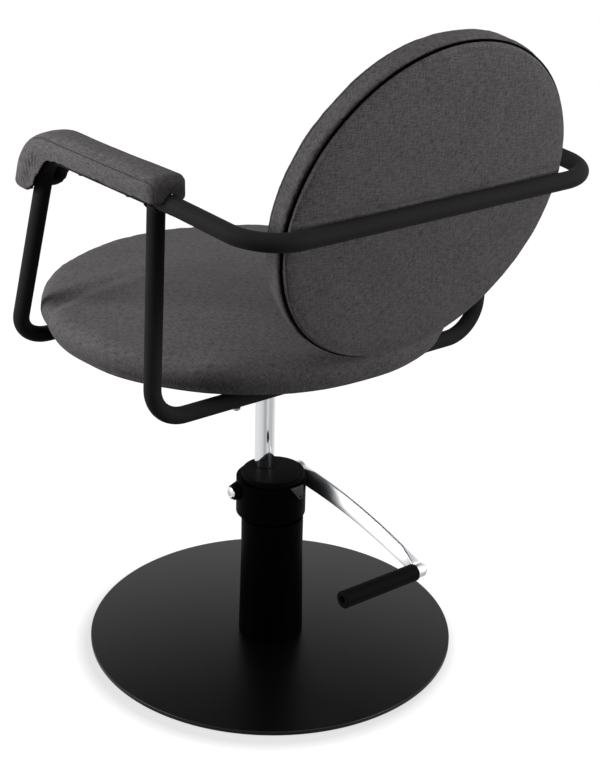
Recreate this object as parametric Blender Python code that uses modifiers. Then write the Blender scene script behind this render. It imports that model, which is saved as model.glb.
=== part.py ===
# Hairdressing chair: round base, foot-pumped column, bent tube frame, round seat and round back.
# Metres, +Z up. The chair's front faces -Y and the sitter's left is +X. The floor is z = 0.
import math

import bmesh
import bpy
from mathutils import Matrix, Vector

clearance = 0.0003  # between pieces that touch
running_gap = 0.0003  # round pieces that turn or slide

# base
base_radius = 0.300
base_thickness = 0.007
base_edge_bevel = 0.0015
floor_ring_thickness = 0.001
floor_ring_width = 0.020
floor_ring_inset = 0.006
base_screw_radius = 0.004
base_screw_head_radius = 0.0075
base_screw_count = 3

# column
column_radius = 0.0505
column_foot_flare = 0.0028
column_flare_height = 0.150
column_wall = 0.004
column_height = 0.2134
column_foot_height = 0.012
column_foot_bore = 0.024

# pump
ram_radius = 0.0161
piston_step = 0.003  # the piston is this much larger than the ram, in radius
piston_height = 0.016
cylinder_wall = 0.003
cylinder_floor = 0.006
ram_travel_down = 0.110
head_radius = 0.0565
head_eccentricity = 0.005
head_height = 0.070
head_floor = 0.016
head_wall = 0.0085
head_chamfer = 0.006
cap_thickness = 0.0097
cap_edge_bevel = 0.0012
wiper_width = 0.003
wiper_height = 0.005
boss_root_radius = 0.0175
boss_tip_radius = 0.0125
boss_reach = 0.0625  # from the chair's middle to the boss's face
pivot_height = 0.047  # above the head's lower face
pivot_radius = 0.006
bolt_head_radius = 0.010
bolt_head_height = 0.006
bolt_socket_radius = 0.004
bolt_socket_depth = 0.003
head_face_share = 0.7  # a screw or pin head's flat face, as a share of its radius
head_side_share = 0.6  # its straight side, as a share of its height
rear_lug_width = 0.026
rear_lug_height = 0.024
rear_lug_thickness = 0.004
rear_lug_tip_radius = 0.0055
rear_lug_hole_radius = 0.002
rear_lug_side_shift = 0.007

# pump lever
lever_stroke_deg = 18.0
yoke_arm_gap = 0.0064  # between the ram and each arm of the yoke
yoke_arm_thickness = 0.006
yoke_end_radius = 0.0095
crossbar_radius = 0.006
crossbar_reach = 0.0418  # from the pivot to the crossbar
plunger_radius = 0.006
plunger_length = 0.115
plunger_collar_radius = 0.0105
plunger_collar_height = 0.004
barrel_wall = 0.0035
barrel_length = 0.090
spring_wire_radius = 0.0008
spring_turns = 5
spring_turn_points = 8
spring_side_gap = 0.0008
lever_thickness = 0.016
lever_root_half_height = 0.0135
lever_end_half_height = 0.0085
lever_hub_radius = 0.0175
lever_bow = 0.011
lever_edge_bevel = 0.004
lever_edge_start = 0.06  # the bowed edges, as shares of the way from the pivot to the pedal pin
lever_edge_end = 0.94
lever_eye_arc_deg = 65
lever_hub_arc_deg = 60
pedal_reach = 0.3045  # from the pivot to the pedal pin, to the rear
pedal_drop = 0.0435  # from the pivot down to the pedal pin
pedal_pin_radius = 0.005
pin_head_radius = 0.008
pin_head_height = 0.004
grip_radius = 0.0135
grip_length = 0.142
grip_edge_bevel = 0.002
grip_end_recess = 0.010  # the pin ends this far inside the grip's free end

# swivel under the seat
hub_radius = 0.028
hub_flange_radius = 0.052
hub_flange_thickness = 0.008
hub_height = 0.060
hub_roof = 0.010
bush_wall = 0.003
thrust_washer_thickness = 0.003
seat_plate_width = 0.180
seat_plate_thickness = 0.006

# tube frame
tube_radius = 0.0127
cross_tube_height = 0.514
front_tube_reach = 0.254  # in front of the column's axis
rear_tube_reach = 0.121  # behind the column's axis
arm_height = 0.8465
arm_front_reach = 0.128  # where the front upright's line meets the rail's, in front of the axis
rear_upright_top = 0.141  # where the rear upright meets the rail, behind the axis
rail_half_width = 0.310  # at the column's axis
rail_splay = 0.0293  # each rail opens outwards by this much a metre, towards the front
back_bar_reach = 0.3631
back_bar_height = 0.8398
back_corner_half_width = 0.2959
bar_lead_length = 0.030  # runs on in the rail's line before the bar drops to its own height
lower_bend_radius = 0.055
arm_bend_radius = 0.060
back_bend_radius = 0.0687
bar_lead_radius = 0.20
rail_joint_behind_upright = 0.024
bend_step_deg = 11.5

# seat
seat_radius = 0.321
seat_centre_y = -0.0786
seat_board_radius = 0.270
seat_board_thickness = 0.012
seat_side_height = 0.0562
seat_crown = 0.0742  # from the cushion's lower face to its middle
seat_shoulder_radius = 0.026
seat_lower_edge_radius = 0.028
seat_side_bulge = 0.0025
seat_screw_radius = 0.003
seat_screw_head_radius = 0.006
seat_screw_head_height = 0.004
seat_screw_half_spread = 0.160
seat_screw_bite = 0.009  # into the board

# back
back_radius = 0.2425
back_centre_height = 0.8334
back_tilt_deg = 14.6
back_board_thickness = 0.006
back_board_inset = 0.012
back_panel_thickness = 0.0066
back_panel_inset = 0.005  # inside the cushion's rim
back_panel_edge_radius = 0.0036
back_panel_seam_radius = 0.0024
back_cushion_side = 0.034
back_cushion_crown = 0.058
back_seam_radius = 0.004
back_shoulder_radius = 0.022
back_bolt_radius = 0.003
back_bolt_head_radius = 0.006
back_bolt_head_height = 0.004
back_bolt_half_spread = 0.100
back_bolt_bite = 0.012  # into the bar

# arm pads
pad_half_width = 0.0305
pad_thickness = 0.024
pad_crown = 0.007
pad_skirt = 0.0055  # how far the pad's sides hang below its plate
pad_rear_overhang = 0.034  # behind the rear upright's line
pad_curl_drop = 0.012  # how far the pad runs on below the arm's bend
pad_rear_round = 0.018
pad_curl_round = 0.008
pad_round_places = (0.1, 0.4, 1.0)  # sections in a rounded end, as shares of its radius
pad_shoulder_share = 0.93  # the section's shoulder and quarter point, as shares of its half width
pad_quarter_share = 0.5
pad_quarter_fall = 0.25  # as a share of the crown
pad_plate_half_width = 0.0265
pad_plate_thickness = 0.004
pad_screw_radius = 0.0025
pad_screw_head_radius = 0.005
pad_screw_head_height = 0.003
pad_screw_places = (0.20, 0.72)  # along the straight rail under the pad, from its front

cushion_crown_power = 1.2  # how full a cushion's crown is
cushion_crown_steps = 6
cushion_shoulder_deg = 84

large_round_steps = 40
round_steps = 24
small_round_steps = 12
tube_bevel_resolution = 4

# heights that follow, from the floor up
plate_bottom = floor_ring_thickness + clearance
plate_top = plate_bottom + base_thickness
column_bottom = plate_top + clearance
column_top = column_bottom + column_height
column_bore = column_radius - column_wall
foot_top = column_bottom + column_foot_height
head_bottom = column_top + clearance
head_top = head_bottom + head_height
cap_bottom = head_top + clearance
cap_top = cap_bottom + cap_thickness
pivot_z = head_bottom + pivot_height

# the pressure cylinder stands against the column's wall, so the ram is off centre by what is left
piston_radius = ram_radius + piston_step
cylinder_bore = piston_radius + running_gap
cylinder_radius = cylinder_bore + cylinder_wall
ram_y = -(column_bore - cylinder_radius - clearance)
cylinder_bottom = foot_top + clearance
piston_bottom = cylinder_bottom + cylinder_floor + clearance + ram_travel_down
piston_top = piston_bottom + piston_height

# the crossbar starts as far above the pivot's level as it ends below it
crossbar_y = ram_y + crossbar_reach
crossbar_z = pivot_z + crossbar_reach * math.tan(math.radians(lever_stroke_deg / 2))
plunger_top = crossbar_z - crossbar_radius - clearance
yoke_arm_inner = ram_radius + yoke_arm_gap
yoke_arm_outer = yoke_arm_inner + yoke_arm_thickness
lever_inner_x = -(boss_reach + clearance)
lever_outer_x = lever_inner_x - lever_thickness
pedal_y = ram_y + pedal_reach
pedal_z = pivot_z - pedal_drop

seat_plate_top = cross_tube_height + seat_plate_thickness / 2
seat_plate_bottom = cross_tube_height - seat_plate_thickness / 2
hub_top = seat_plate_bottom - clearance
hub_bottom = hub_top - hub_height
ram_top = hub_top - hub_roof - clearance - thrust_washer_thickness - clearance
seat_board_bottom = cross_tube_height + tube_radius + clearance
seat_board_top = seat_board_bottom + seat_board_thickness

back_tilt = math.radians(back_tilt_deg)
back_normal = Vector((0, math.cos(back_tilt), -math.sin(back_tilt)))
back_turn = -(math.pi / 2 + back_tilt)  # turns +Z to the back's rear normal
panel_front = back_board_thickness / 2 + clearance
panel_rear = panel_front + back_panel_thickness
bar_offset = panel_rear + clearance + tube_radius
bar_rise = back_bar_height - back_centre_height
back_centre_y = back_bar_reach - (bar_offset + bar_rise * math.sin(back_tilt)) / math.cos(back_tilt)
back_centre = Vector((0, back_centre_y, back_centre_height))

pad_base = tube_radius + clearance  # from the rail's axis to the pad plate
pad_seat = pad_base + pad_plate_thickness + clearance
pad_rear_y = rear_upright_top + pad_rear_overhang
rail_joint_y = rear_upright_top + rail_joint_behind_upright


def rail_x(y):
    return rail_half_width - rail_splay * y


def clear_scene():
    for obj in list(bpy.data.objects):
        bpy.data.objects.remove(obj, do_unlink=True)


def new_collection(name):
    collection = bpy.data.collections.new(name)
    bpy.context.scene.collection.children.link(collection)
    return collection


def finish_material(name, colour, roughness, metallic=0.0):
    material = bpy.data.materials.new(name)
    material.use_nodes = True
    shader = material.node_tree.nodes["Principled BSDF"]
    shader.inputs["Base Color"].default_value = (*colour, 1)
    shader.inputs["Roughness"].default_value = roughness
    shader.inputs["Metallic"].default_value = metallic
    material.diffuse_color = (*colour, 1)
    return material


clear_scene()
chair = new_collection("hairdressing_chair")
cutters = new_collection("cutters")
cutters.hide_render = True

black_paint = finish_material("black powder coat", (0.012, 0.012, 0.013), 0.45)
chrome = finish_material("chrome plate", (0.80, 0.80, 0.81), 0.08, 1.0)
bright_steel = finish_material("bright steel", (0.55, 0.55, 0.56), 0.30, 1.0)
grey_casting = finish_material("grey casting", (0.10, 0.10, 0.105), 0.40, 0.6)
black_rubber = finish_material("black rubber", (0.010, 0.010, 0.010), 0.75)
black_plastic = finish_material("black plastic", (0.012, 0.012, 0.012), 0.55)
bush_plastic = finish_material("white nylon", (0.70, 0.69, 0.65), 0.50)
plywood = finish_material("birch plywood", (0.55, 0.40, 0.24), 0.70)
charcoal_cloth = finish_material("charcoal cloth", (0.075, 0.073, 0.074), 0.90)


def empty_at(name, place):
    holder = bpy.data.objects.new(name, None)
    holder.location = place
    holder.empty_display_size = 0.05
    chair.objects.link(holder)
    return holder


# one empty on each joint's axis carries what moves with it
base_holder = empty_at("base_holder", (0, 0, 0))
ram_holder = empty_at("ram_holder", (0, ram_y, 0))
seat_holder = empty_at("seat_holder", (0, ram_y, cross_tube_height))
lever_holder = empty_at("lever_holder", (0, ram_y, pivot_z))
plunger_holder = empty_at("plunger_holder", (0, crossbar_y, plunger_top))
bpy.context.view_layer.update()


def add_part(obj, material, holder, sharp_deg=35):
    chair.objects.link(obj)
    obj.parent = holder
    obj.matrix_parent_inverse = holder.matrix_world.inverted()
    obj.data.materials.clear()
    obj.data.materials.append(material)
    if obj.type == "MESH":
        obj.data.shade_smooth()
        obj.data.set_sharp_from_angle(angle=math.radians(sharp_deg))
    return obj


def turned(name, profile, place=(0, 0, 0), turn=(0, 0, 0), steps=round_steps):
    # A profile of (radius, height) points, down the outer side. One off the axis is closed into a ring.
    closed = profile[0][0] > 0
    mesh = bpy.data.meshes.new(name)
    edges = [(i, i + 1) for i in range(len(profile) - 1)]
    if closed:
        edges.append((len(profile) - 1, 0))
    mesh.from_pydata([(r, 0, z) for r, z in profile], edges, [])
    obj = bpy.data.objects.new(name, mesh)
    screw = obj.modifiers.new("turn", "SCREW")
    screw.steps = steps
    screw.render_steps = steps
    screw.use_merge_vertices = True
    screw.merge_threshold = 0.00001
    screw.use_smooth_shade = True
    obj.location = place
    obj.rotation_euler = turn
    return obj


def arc(centre, radius, start_deg, end_deg, count):
    # Points on a circle, from one angle to the other.
    points = []
    for i in range(count + 1):
        angle = math.radians(start_deg + (end_deg - start_deg) * i / count)
        points.append((centre[0] + radius * math.cos(angle), centre[1] + radius * math.sin(angle)))
    return points


def rod_mesh(name, start, end, radius, end_radius=None, sides=round_steps):
    # A plain round bar or frustum between two points.
    start = Vector(start)
    end = Vector(end)
    axis = end - start
    bm = bmesh.new()
    bmesh.ops.create_cone(
        bm,
        cap_ends=True,
        segments=sides,
        radius1=radius,
        radius2=radius if end_radius is None else end_radius,
        depth=axis.length,
    )
    turn = Vector((0, 0, 1)).rotation_difference(axis).to_matrix().to_4x4()
    bmesh.ops.transform(bm, matrix=Matrix.Translation((start + end) / 2) @ turn, verts=bm.verts)
    mesh = bpy.data.meshes.new(name)
    bm.to_mesh(mesh)
    bm.free()
    return bpy.data.objects.new(name, mesh)


def box_mesh(name, low, high):
    low = Vector(low)
    high = Vector(high)
    bm = bmesh.new()
    bmesh.ops.create_cube(bm, size=1)
    bmesh.ops.scale(bm, vec=high - low, verts=bm.verts)
    bmesh.ops.translate(bm, vec=(low + high) / 2, verts=bm.verts)
    mesh = bpy.data.meshes.new(name)
    bm.to_mesh(mesh)
    bm.free()
    return bpy.data.objects.new(name, mesh)


def boolean(obj, other, operation):
    # The other object is kept as a helper, out of renders.
    cutters.objects.link(other)
    other.hide_render = True
    other.display_type = "WIRE"
    modifier = obj.modifiers.new(f"{operation.lower()} {other.name}", "BOOLEAN")
    modifier.operation = operation
    modifier.solver = "EXACT"
    modifier.object = other


def cut(obj, other):
    boolean(obj, other, "DIFFERENCE")


def join(obj, other):
    boolean(obj, other, "UNION")


def bored(obj, start, end, radius, sides=small_round_steps):
    cut(obj, rod_mesh(f"{obj.name}_bore_{len(obj.modifiers)}", start, end, radius, sides=sides))


def fillet_path(corners, radii):
    # Straight runs with an arc of the given radius at each inner corner.
    points = [Vector(corners[0])]
    for before, corner, after, radius in zip(corners, corners[1:], corners[2:], radii):
        corner = Vector(corner)
        into = (Vector(before) - corner).normalized()
        out = (Vector(after) - corner).normalized()
        half = into.angle(out) / 2
        centre = corner + (into + out).normalized() * radius / math.sin(half)
        tangent = radius / math.tan(half)
        first = corner + into * tangent - centre
        last = corner + out * tangent - centre
        turn_axis = first.cross(last)
        sweep = first.angle(last)
        count = max(3, round(math.degrees(sweep) / bend_step_deg))
        for i in range(count + 1):
            points.append(centre + Matrix.Rotation(sweep * i / count, 3, turn_axis) @ first)
    points.append(Vector(corners[-1]))
    return points


def tube_curve(name, points, radius, resolution):
    curve = bpy.data.curves.new(name, "CURVE")
    curve.dimensions = "3D"
    curve.bevel_depth = radius
    curve.bevel_resolution = resolution
    curve.use_fill_caps = True
    spline = curve.splines.new("POLY")
    spline.points.add(len(points) - 1)
    for spot, point in zip(spline.points, points):
        spot.co = (*point, 1)
    return bpy.data.objects.new(name, curve)


def meshed(curve_object):
    # A curve as a closed mesh, which can be cut.
    name = curve_object.name
    bpy.context.scene.collection.objects.link(curve_object)
    graph = bpy.context.evaluated_depsgraph_get()
    mesh = bpy.data.meshes.new_from_object(curve_object.evaluated_get(graph))
    bm = bmesh.new()
    bm.from_mesh(mesh)
    bmesh.ops.remove_doubles(bm, verts=bm.verts, dist=0.000001)
    bmesh.ops.recalc_face_normals(bm, faces=bm.faces)
    bm.to_mesh(mesh)
    bm.free()
    place = curve_object.matrix_world.copy()
    bpy.data.objects.remove(curve_object, do_unlink=True)
    obj = bpy.data.objects.new(name, mesh)
    mesh.name = name
    obj.matrix_world = place
    return obj


def bent_tube(name, points):
    return meshed(tube_curve(name, points, tube_radius, tube_bevel_resolution))


def screw_up(name, place, radius, head_radius, head_height, length):
    # A round-headed screw with its head at the bottom. Place is the underside of what it holds.
    x, y, z = place
    profile = [
        (0, length),
        (radius, length),
        (radius, 0),
        (head_radius, 0),
        (head_radius, -head_height * head_side_share),
        (head_radius * head_face_share, -head_height),
        (0, -head_height),
    ]
    return turned(name, profile, (x, y, z), steps=small_round_steps)


# base plate, its rubber ring and the screws that hold the column
def build_base():
    bevel = base_edge_bevel
    plate = turned(
        "base_plate",
        [
            (0, plate_top),
            (base_radius - bevel, plate_top),
            (base_radius, plate_top - bevel),
            (base_radius, plate_bottom + bevel),
            (base_radius - bevel, plate_bottom),
            (0, plate_bottom),
        ],
        steps=large_round_steps,
    )
    outer = base_radius - floor_ring_inset
    inner = outer - floor_ring_width
    ring = turned(
        "floor_ring",
        [
            (outer, floor_ring_thickness),
            (outer, 0),
            (inner, 0),
            (inner, floor_ring_thickness),
        ],
        steps=large_round_steps,
    )
    screw_circle = (column_foot_bore + column_bore) / 2
    head_depth = base_screw_head_radius - base_screw_radius
    for i in range(base_screw_count):
        angle = 2 * math.pi * i / base_screw_count + math.pi / 2
        x = screw_circle * math.cos(angle)
        y = screw_circle * math.sin(angle)
        tip = foot_top - plate_bottom - clearance
        screw = turned(
            f"base_screw_{i + 1}",
            [
                (0, tip),
                (base_screw_radius, tip),
                (base_screw_radius, head_depth),
                (base_screw_head_radius, 0),
                (0, 0),
            ],
            (x, y, plate_bottom),
            steps=small_round_steps,
        )
        add_part(screw, bright_steel, base_holder)
        hole_radius = base_screw_radius + clearance
        sink_radius = base_screw_head_radius + clearance
        below = plate_bottom - head_depth
        sink_top = plate_bottom + head_depth
        bored(plate, (x, y, below), (x, y, plate_top + head_depth), hole_radius)
        sink = rod_mesh(
            f"base_sink_{i + 1}",
            (x, y, below),
            (x, y, sink_top),
            sink_radius + head_depth,
            hole_radius,
        )
        cut(plate, sink)
        base_screw_bores.append(((x, y), hole_radius))
    add_part(plate, black_paint, base_holder)
    add_part(ring, black_rubber, base_holder)


base_screw_bores = []


# the column, with the pressure cylinder standing inside it against its front wall
def build_column():
    foot_radius = column_radius + column_foot_flare
    flare_top = column_bottom + column_flare_height
    tube = turned(
        "pump_tube",
        [
            (column_radius, column_top),
            (column_radius, flare_top),
            (foot_radius, column_bottom),
            (column_foot_bore, column_bottom),
            (column_foot_bore, foot_top),
            (column_bore, foot_top),
            (column_bore, column_top),
        ],
        steps=large_round_steps,
    )
    for (x, y), radius in base_screw_bores:
        bored(tube, (x, y, column_bottom - column_wall), (x, y, foot_top + column_wall), radius)
    add_part(tube, black_paint, base_holder)

    floor_top = cylinder_bottom + cylinder_floor
    cylinder = turned(
        "pressure_cylinder",
        [
            (0, floor_top),
            (cylinder_bore, floor_top),
            (cylinder_bore, column_top),
            (cylinder_radius, column_top),
            (cylinder_radius, cylinder_bottom),
            (0, cylinder_bottom),
        ],
        (0, ram_y, 0),
    )
    add_part(cylinder, bright_steel, base_holder)

    barrel_bore = plunger_radius + running_gap
    barrel = turned(
        "plunger_barrel",
        [
            (barrel_bore + barrel_wall, column_top),
            (barrel_bore + barrel_wall, column_top - barrel_length),
            (barrel_bore, column_top - barrel_length),
            (barrel_bore, column_top),
        ],
        (0, crossbar_y, 0),
        steps=small_round_steps,
    )
    add_part(barrel, bright_steel, base_holder)


# the head: an eccentric cup with a pivot boss on each side, closed by a cap
def build_head():
    head_y = -head_eccentricity
    chamfer_in = head_radius - head_chamfer
    head = turned(
        "pump_head",
        [
            (0, head_top),
            (head_radius, head_top),
            (head_radius, head_bottom + head_chamfer),
            (chamfer_in, head_bottom),
            (0, head_bottom),
        ],
        (0, head_y, 0),
        steps=large_round_steps,
    )
    pocket_radius = head_radius - head_wall
    floor_z = head_bottom + head_floor
    for side in (1, -1):
        boss = rod_mesh(
            f"boss_{'left' if side > 0 else 'right'}",
            (side * (boss_reach - boss_root_radius), ram_y, pivot_z),
            (side * boss_reach, ram_y, pivot_z),
            boss_root_radius,
            boss_tip_radius,
        )
        join(head, boss)
    above = head_top + head_wall
    cut(head, rod_mesh("head_pocket", (0, head_y, floor_z), (0, head_y, above), pocket_radius))
    below = head_bottom - head_wall
    bored(head, (0, ram_y, below), (0, ram_y, above), ram_radius + running_gap, large_round_steps)
    bored(head, (0, crossbar_y, below), (0, crossbar_y, above), plunger_radius + running_gap)
    past = boss_reach + head_wall
    bored(head, (-past, ram_y, pivot_z), (past, ram_y, pivot_z), pivot_radius + running_gap)
    add_part(head, black_paint, base_holder)

    bevel = cap_edge_bevel
    cap = turned(
        "head_cap",
        [
            (0, cap_top),
            (column_radius - bevel, cap_top),
            (column_radius, cap_top - bevel),
            (column_radius, cap_bottom),
            (0, cap_bottom),
        ],
        steps=large_round_steps,
    )
    wiper_radius = ram_radius + running_gap + wiper_width
    under = cap_bottom - cap_thickness
    over = cap_top + cap_thickness
    bored(cap, (0, ram_y, under), (0, ram_y, over), ram_radius + running_gap, large_round_steps)
    wiper_floor = cap_top - wiper_height - clearance
    bored(cap, (0, ram_y, wiper_floor), (0, ram_y, over), wiper_radius + clearance, round_steps)
    add_part(cap, black_plastic, base_holder)

    wiper = turned(
        "ram_wiper",
        [
            (wiper_radius, cap_top),
            (wiper_radius, cap_top - wiper_height),
            (ram_radius + running_gap, cap_top - wiper_height),
            (ram_radius + running_gap, cap_top),
        ],
        (0, ram_y, 0),
    )
    add_part(wiper, black_rubber, base_holder)
    add_part(build_rear_lug(head_y), grey_casting, base_holder)


# a small tapered lug with a hole, flat against the rear of the head under the cap
def build_rear_lug(head_y):
    top = head_top - clearance
    tip_z = top - rear_lug_height + rear_lug_tip_radius
    left = rear_lug_width / 2
    tip_x = -rear_lug_side_shift
    outline = [(left, top)]
    outline += [(-left, top)]
    outline += arc((tip_x, tip_z), rear_lug_tip_radius, 200, 340, 7)
    curve = bpy.data.curves.new("rear_lug", "CURVE")
    curve.dimensions = "2D"
    curve.fill_mode = "BOTH"
    curve.extrude = rear_lug_thickness / 2
    spline = curve.splines.new("POLY")
    spline.use_cyclic_u = True
    spline.points.add(len(outline) - 1)
    for spot, (x, z) in zip(spline.points, outline):
        spot.co = (x, z, 0, 1)
    lug_y = head_y + head_radius + clearance + rear_lug_thickness / 2
    flat = bpy.data.objects.new("rear_lug", curve)
    flat.rotation_euler = (math.pi / 2, 0, 0)
    flat.location = (tip_x, lug_y, 0)
    lug = meshed(flat)
    reach = rear_lug_thickness
    hole_x = 2 * tip_x
    bored(lug, (hole_x, lug_y - reach, tip_z), (hole_x, lug_y + reach, tip_z), rear_lug_hole_radius)
    return lug


# ram and piston
def build_ram():
    ram = turned(
        "ram",
        [
            (0, ram_top),
            (ram_radius, ram_top),
            (ram_radius, piston_top + clearance),
            (0, piston_top + clearance),
        ],
        (0, ram_y, 0),
        steps=large_round_steps,
    )
    add_part(ram, chrome, ram_holder)
    groove = piston_step / 2
    middle = (piston_top + piston_bottom) / 2
    piston = turned(
        "ram_piston",
        [
            (0, piston_top),
            (piston_radius, piston_top),
            (piston_radius, middle + groove),
            (piston_radius - groove, middle + groove),
            (piston_radius - groove, middle - groove),
            (piston_radius, middle - groove),
            (piston_radius, piston_bottom),
            (0, piston_bottom),
        ],
        (0, ram_y, 0),
    )
    add_part(piston, bright_steel, ram_holder)


# plunger, pushed down by the yoke's crossbar and returned by its spring
def build_plunger():
    collar_bottom = plunger_top - plunger_collar_height
    plunger = turned(
        "plunger",
        [
            (0, plunger_top),
            (plunger_collar_radius, plunger_top),
            (plunger_collar_radius, collar_bottom),
            (plunger_radius, collar_bottom),
            (plunger_radius, plunger_top - plunger_length),
            (0, plunger_top - plunger_length),
        ],
        (0, crossbar_y, 0),
        steps=small_round_steps,
    )
    add_part(plunger, bright_steel, plunger_holder)

    low = head_bottom + head_floor + clearance + spring_wire_radius
    high = collar_bottom - clearance - spring_wire_radius
    coil_radius = plunger_radius + spring_side_gap + spring_wire_radius
    steps = spring_turns * spring_turn_points
    points = []
    for i in range(steps + 1):
        angle = 2 * math.pi * i / spring_turn_points
        x = coil_radius * math.cos(angle)
        y = crossbar_y + coil_radius * math.sin(angle)
        points.append(Vector((x, y, low + (high - low) * i / steps)))
    least = min(
        (a - b).length
        for i, a in enumerate(points)
        for b in points[i + spring_turn_points // 2 :]
    )
    print(f"plunger_spring: least gap between turns {1000 * (least - 2 * spring_wire_radius):.2f} mm")
    spring = meshed(tube_curve("plunger_spring", points, spring_wire_radius, 1))
    add_part(spring, bright_steel, base_holder)


# the fork round the ram, its shaft, the left pivot bolt, the lever and its pedal
def build_lever():
    bar_start = (-yoke_arm_outer, crossbar_y, crossbar_z)
    bar_end = (yoke_arm_outer, crossbar_y, crossbar_z)
    yoke = rod_mesh("lever_yoke", bar_start, bar_end, crossbar_radius)
    slope = math.atan2(crossbar_z - pivot_z, crossbar_reach)
    length = math.hypot(crossbar_reach, crossbar_z - pivot_z)
    for side in (1, -1):
        word = "left" if side > 0 else "right"
        inner = side * yoke_arm_inner
        outer = side * yoke_arm_outer
        low_x = min(inner, outer)
        high_x = max(inner, outer)
        web = box_mesh(
            f"yoke_web_{word}",
            (low_x, 0, -crossbar_radius),
            (high_x, length, crossbar_radius),
        )
        web.location = (0, ram_y, pivot_z)
        web.rotation_euler = (slope, 0, 0)
        join(yoke, web)
        pivot_end = rod_mesh(
            f"yoke_eye_{word}",
            (low_x, ram_y, pivot_z),
            (high_x, ram_y, pivot_z),
            yoke_end_radius,
        )
        join(yoke, pivot_end)
    past = yoke_arm_outer + yoke_arm_thickness
    bored(yoke, (-past, ram_y, pivot_z), (past, ram_y, pivot_z), pivot_radius + running_gap)
    add_part(yoke, bright_steel, lever_holder)

    shaft_end = lever_outer_x + lever_edge_bevel
    shaft = rod_mesh(
        "lever_shaft",
        (-yoke_arm_inner, ram_y, pivot_z),
        (shaft_end, ram_y, pivot_z),
        pivot_radius,
    )
    add_part(shaft, bright_steel, lever_holder)

    bolt_face = boss_reach + clearance
    tip = yoke_arm_inner - bolt_face
    bolt = turned(
        "pivot_bolt",
        [
            (0, bolt_head_height),
            (bolt_head_radius * head_face_share, bolt_head_height),
            (bolt_head_radius, bolt_head_height * head_side_share),
            (bolt_head_radius, 0),
            (pivot_radius, 0),
            (pivot_radius, tip),
            (0, tip),
        ],
        (bolt_face, ram_y, pivot_z),
        (0, math.pi / 2, 0),
    )
    head_end = bolt_face + bolt_head_height
    socket = rod_mesh(
        "bolt_socket",
        (head_end - bolt_socket_depth, ram_y, pivot_z),
        (head_end + bolt_socket_depth, ram_y, pivot_z),
        bolt_socket_radius,
        sides=6,
    )
    cut(bolt, socket)
    add_part(bolt, chrome, base_holder)
    build_foot_lever(shaft_end)
    build_pedal()


def lever_outline():
    # The bar's side view in (y, z), from the pivot: two bowed edges between a round hub and a round eye.
    length = math.hypot(pedal_reach, pedal_drop)
    along = Vector((pedal_reach, -pedal_drop)) / length
    across = Vector((-along.y, along.x))
    steps = 10

    def edge_point(share, side):
        half = lever_root_half_height + (lever_end_half_height - lever_root_half_height) * share
        bow = 4 * lever_bow * share * (1 - share)
        return along * length * share + across * (bow + side * half)

    lean = math.degrees(math.atan2(along.y, along.x))
    eye_radius = lever_end_half_height + pedal_pin_radius / 2
    run = lever_edge_end - lever_edge_start
    shares = [lever_edge_start + run * i / steps for i in range(steps + 1)]
    eye = lever_eye_arc_deg
    hub = lever_hub_arc_deg
    points = [edge_point(share, -1) for share in shares]
    points += [Vector(p) for p in arc((pedal_reach, -pedal_drop), eye_radius, lean - eye, lean + eye, 8)]
    points += [edge_point(share, 1) for share in reversed(shares)]
    points += [Vector(p) for p in arc((0, 0), lever_hub_radius, lean + hub, lean + 360 - hub, 12)]
    return points


def build_foot_lever(shaft_end):
    outline = lever_outline()
    curve = bpy.data.curves.new("foot_lever", "CURVE")
    curve.dimensions = "2D"
    curve.fill_mode = "BOTH"
    curve.extrude = lever_thickness / 2
    spline = curve.splines.new("POLY")
    spline.use_cyclic_u = True
    spline.points.add(len(outline) - 1)
    for spot, (y, z) in zip(spline.points, outline):
        spot.co = (y, z, 0, 1)
    flat = bpy.data.objects.new("foot_lever", curve)
    flat.matrix_world = Matrix.Translation(((lever_inner_x + lever_outer_x) / 2, ram_y, pivot_z)) @ Matrix(
        ((0, 0, 1, 0), (1, 0, 0, 0), (0, 1, 0, 0), (0, 0, 0, 1))
    )
    lever = meshed(flat)
    rounding = lever.modifiers.new("round edges", "BEVEL")
    rounding.width = lever_edge_bevel
    rounding.segments = 3
    rounding.limit_method = "ANGLE"
    rounding.angle_limit = math.radians(60)
    beyond = lever_inner_x + lever_thickness
    bored(lever, (shaft_end - clearance, ram_y, pivot_z), (beyond, ram_y, pivot_z), pivot_radius + clearance)
    far = lever_outer_x - lever_thickness
    bored(lever, (far, pedal_y, pedal_z), (beyond, pedal_y, pedal_z), pedal_pin_radius + clearance)
    add_part(lever, chrome, lever_holder)


def build_pedal():
    grip_start = lever_inner_x + clearance
    pin_base = lever_outer_x - clearance
    pin_length = grip_start + grip_length - grip_end_recess - pin_base
    pin = turned(
        "pedal_pin",
        [
            (0, pin_length),
            (pedal_pin_radius, pin_length),
            (pedal_pin_radius, 0),
            (pin_head_radius, 0),
            (pin_head_radius, -pin_head_height * head_side_share),
            (pin_head_radius * head_face_share, -pin_head_height),
            (0, -pin_head_height),
        ],
        (pin_base, pedal_y, pedal_z),
        (0, math.pi / 2, 0),
    )
    add_part(pin, chrome, lever_holder)
    bevel = grip_edge_bevel
    bore = pedal_pin_radius + clearance
    grip = turned(
        "pedal_grip",
        [
            (grip_radius - bevel, grip_length),
            (grip_radius, grip_length - bevel),
            (grip_radius, bevel),
            (grip_radius - bevel, 0),
            (bore, 0),
            (bore, grip_length),
        ],
        (grip_start, pedal_y, pedal_z),
        (0, math.pi / 2, 0),
    )
    add_part(grip, black_rubber, lever_holder)


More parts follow.
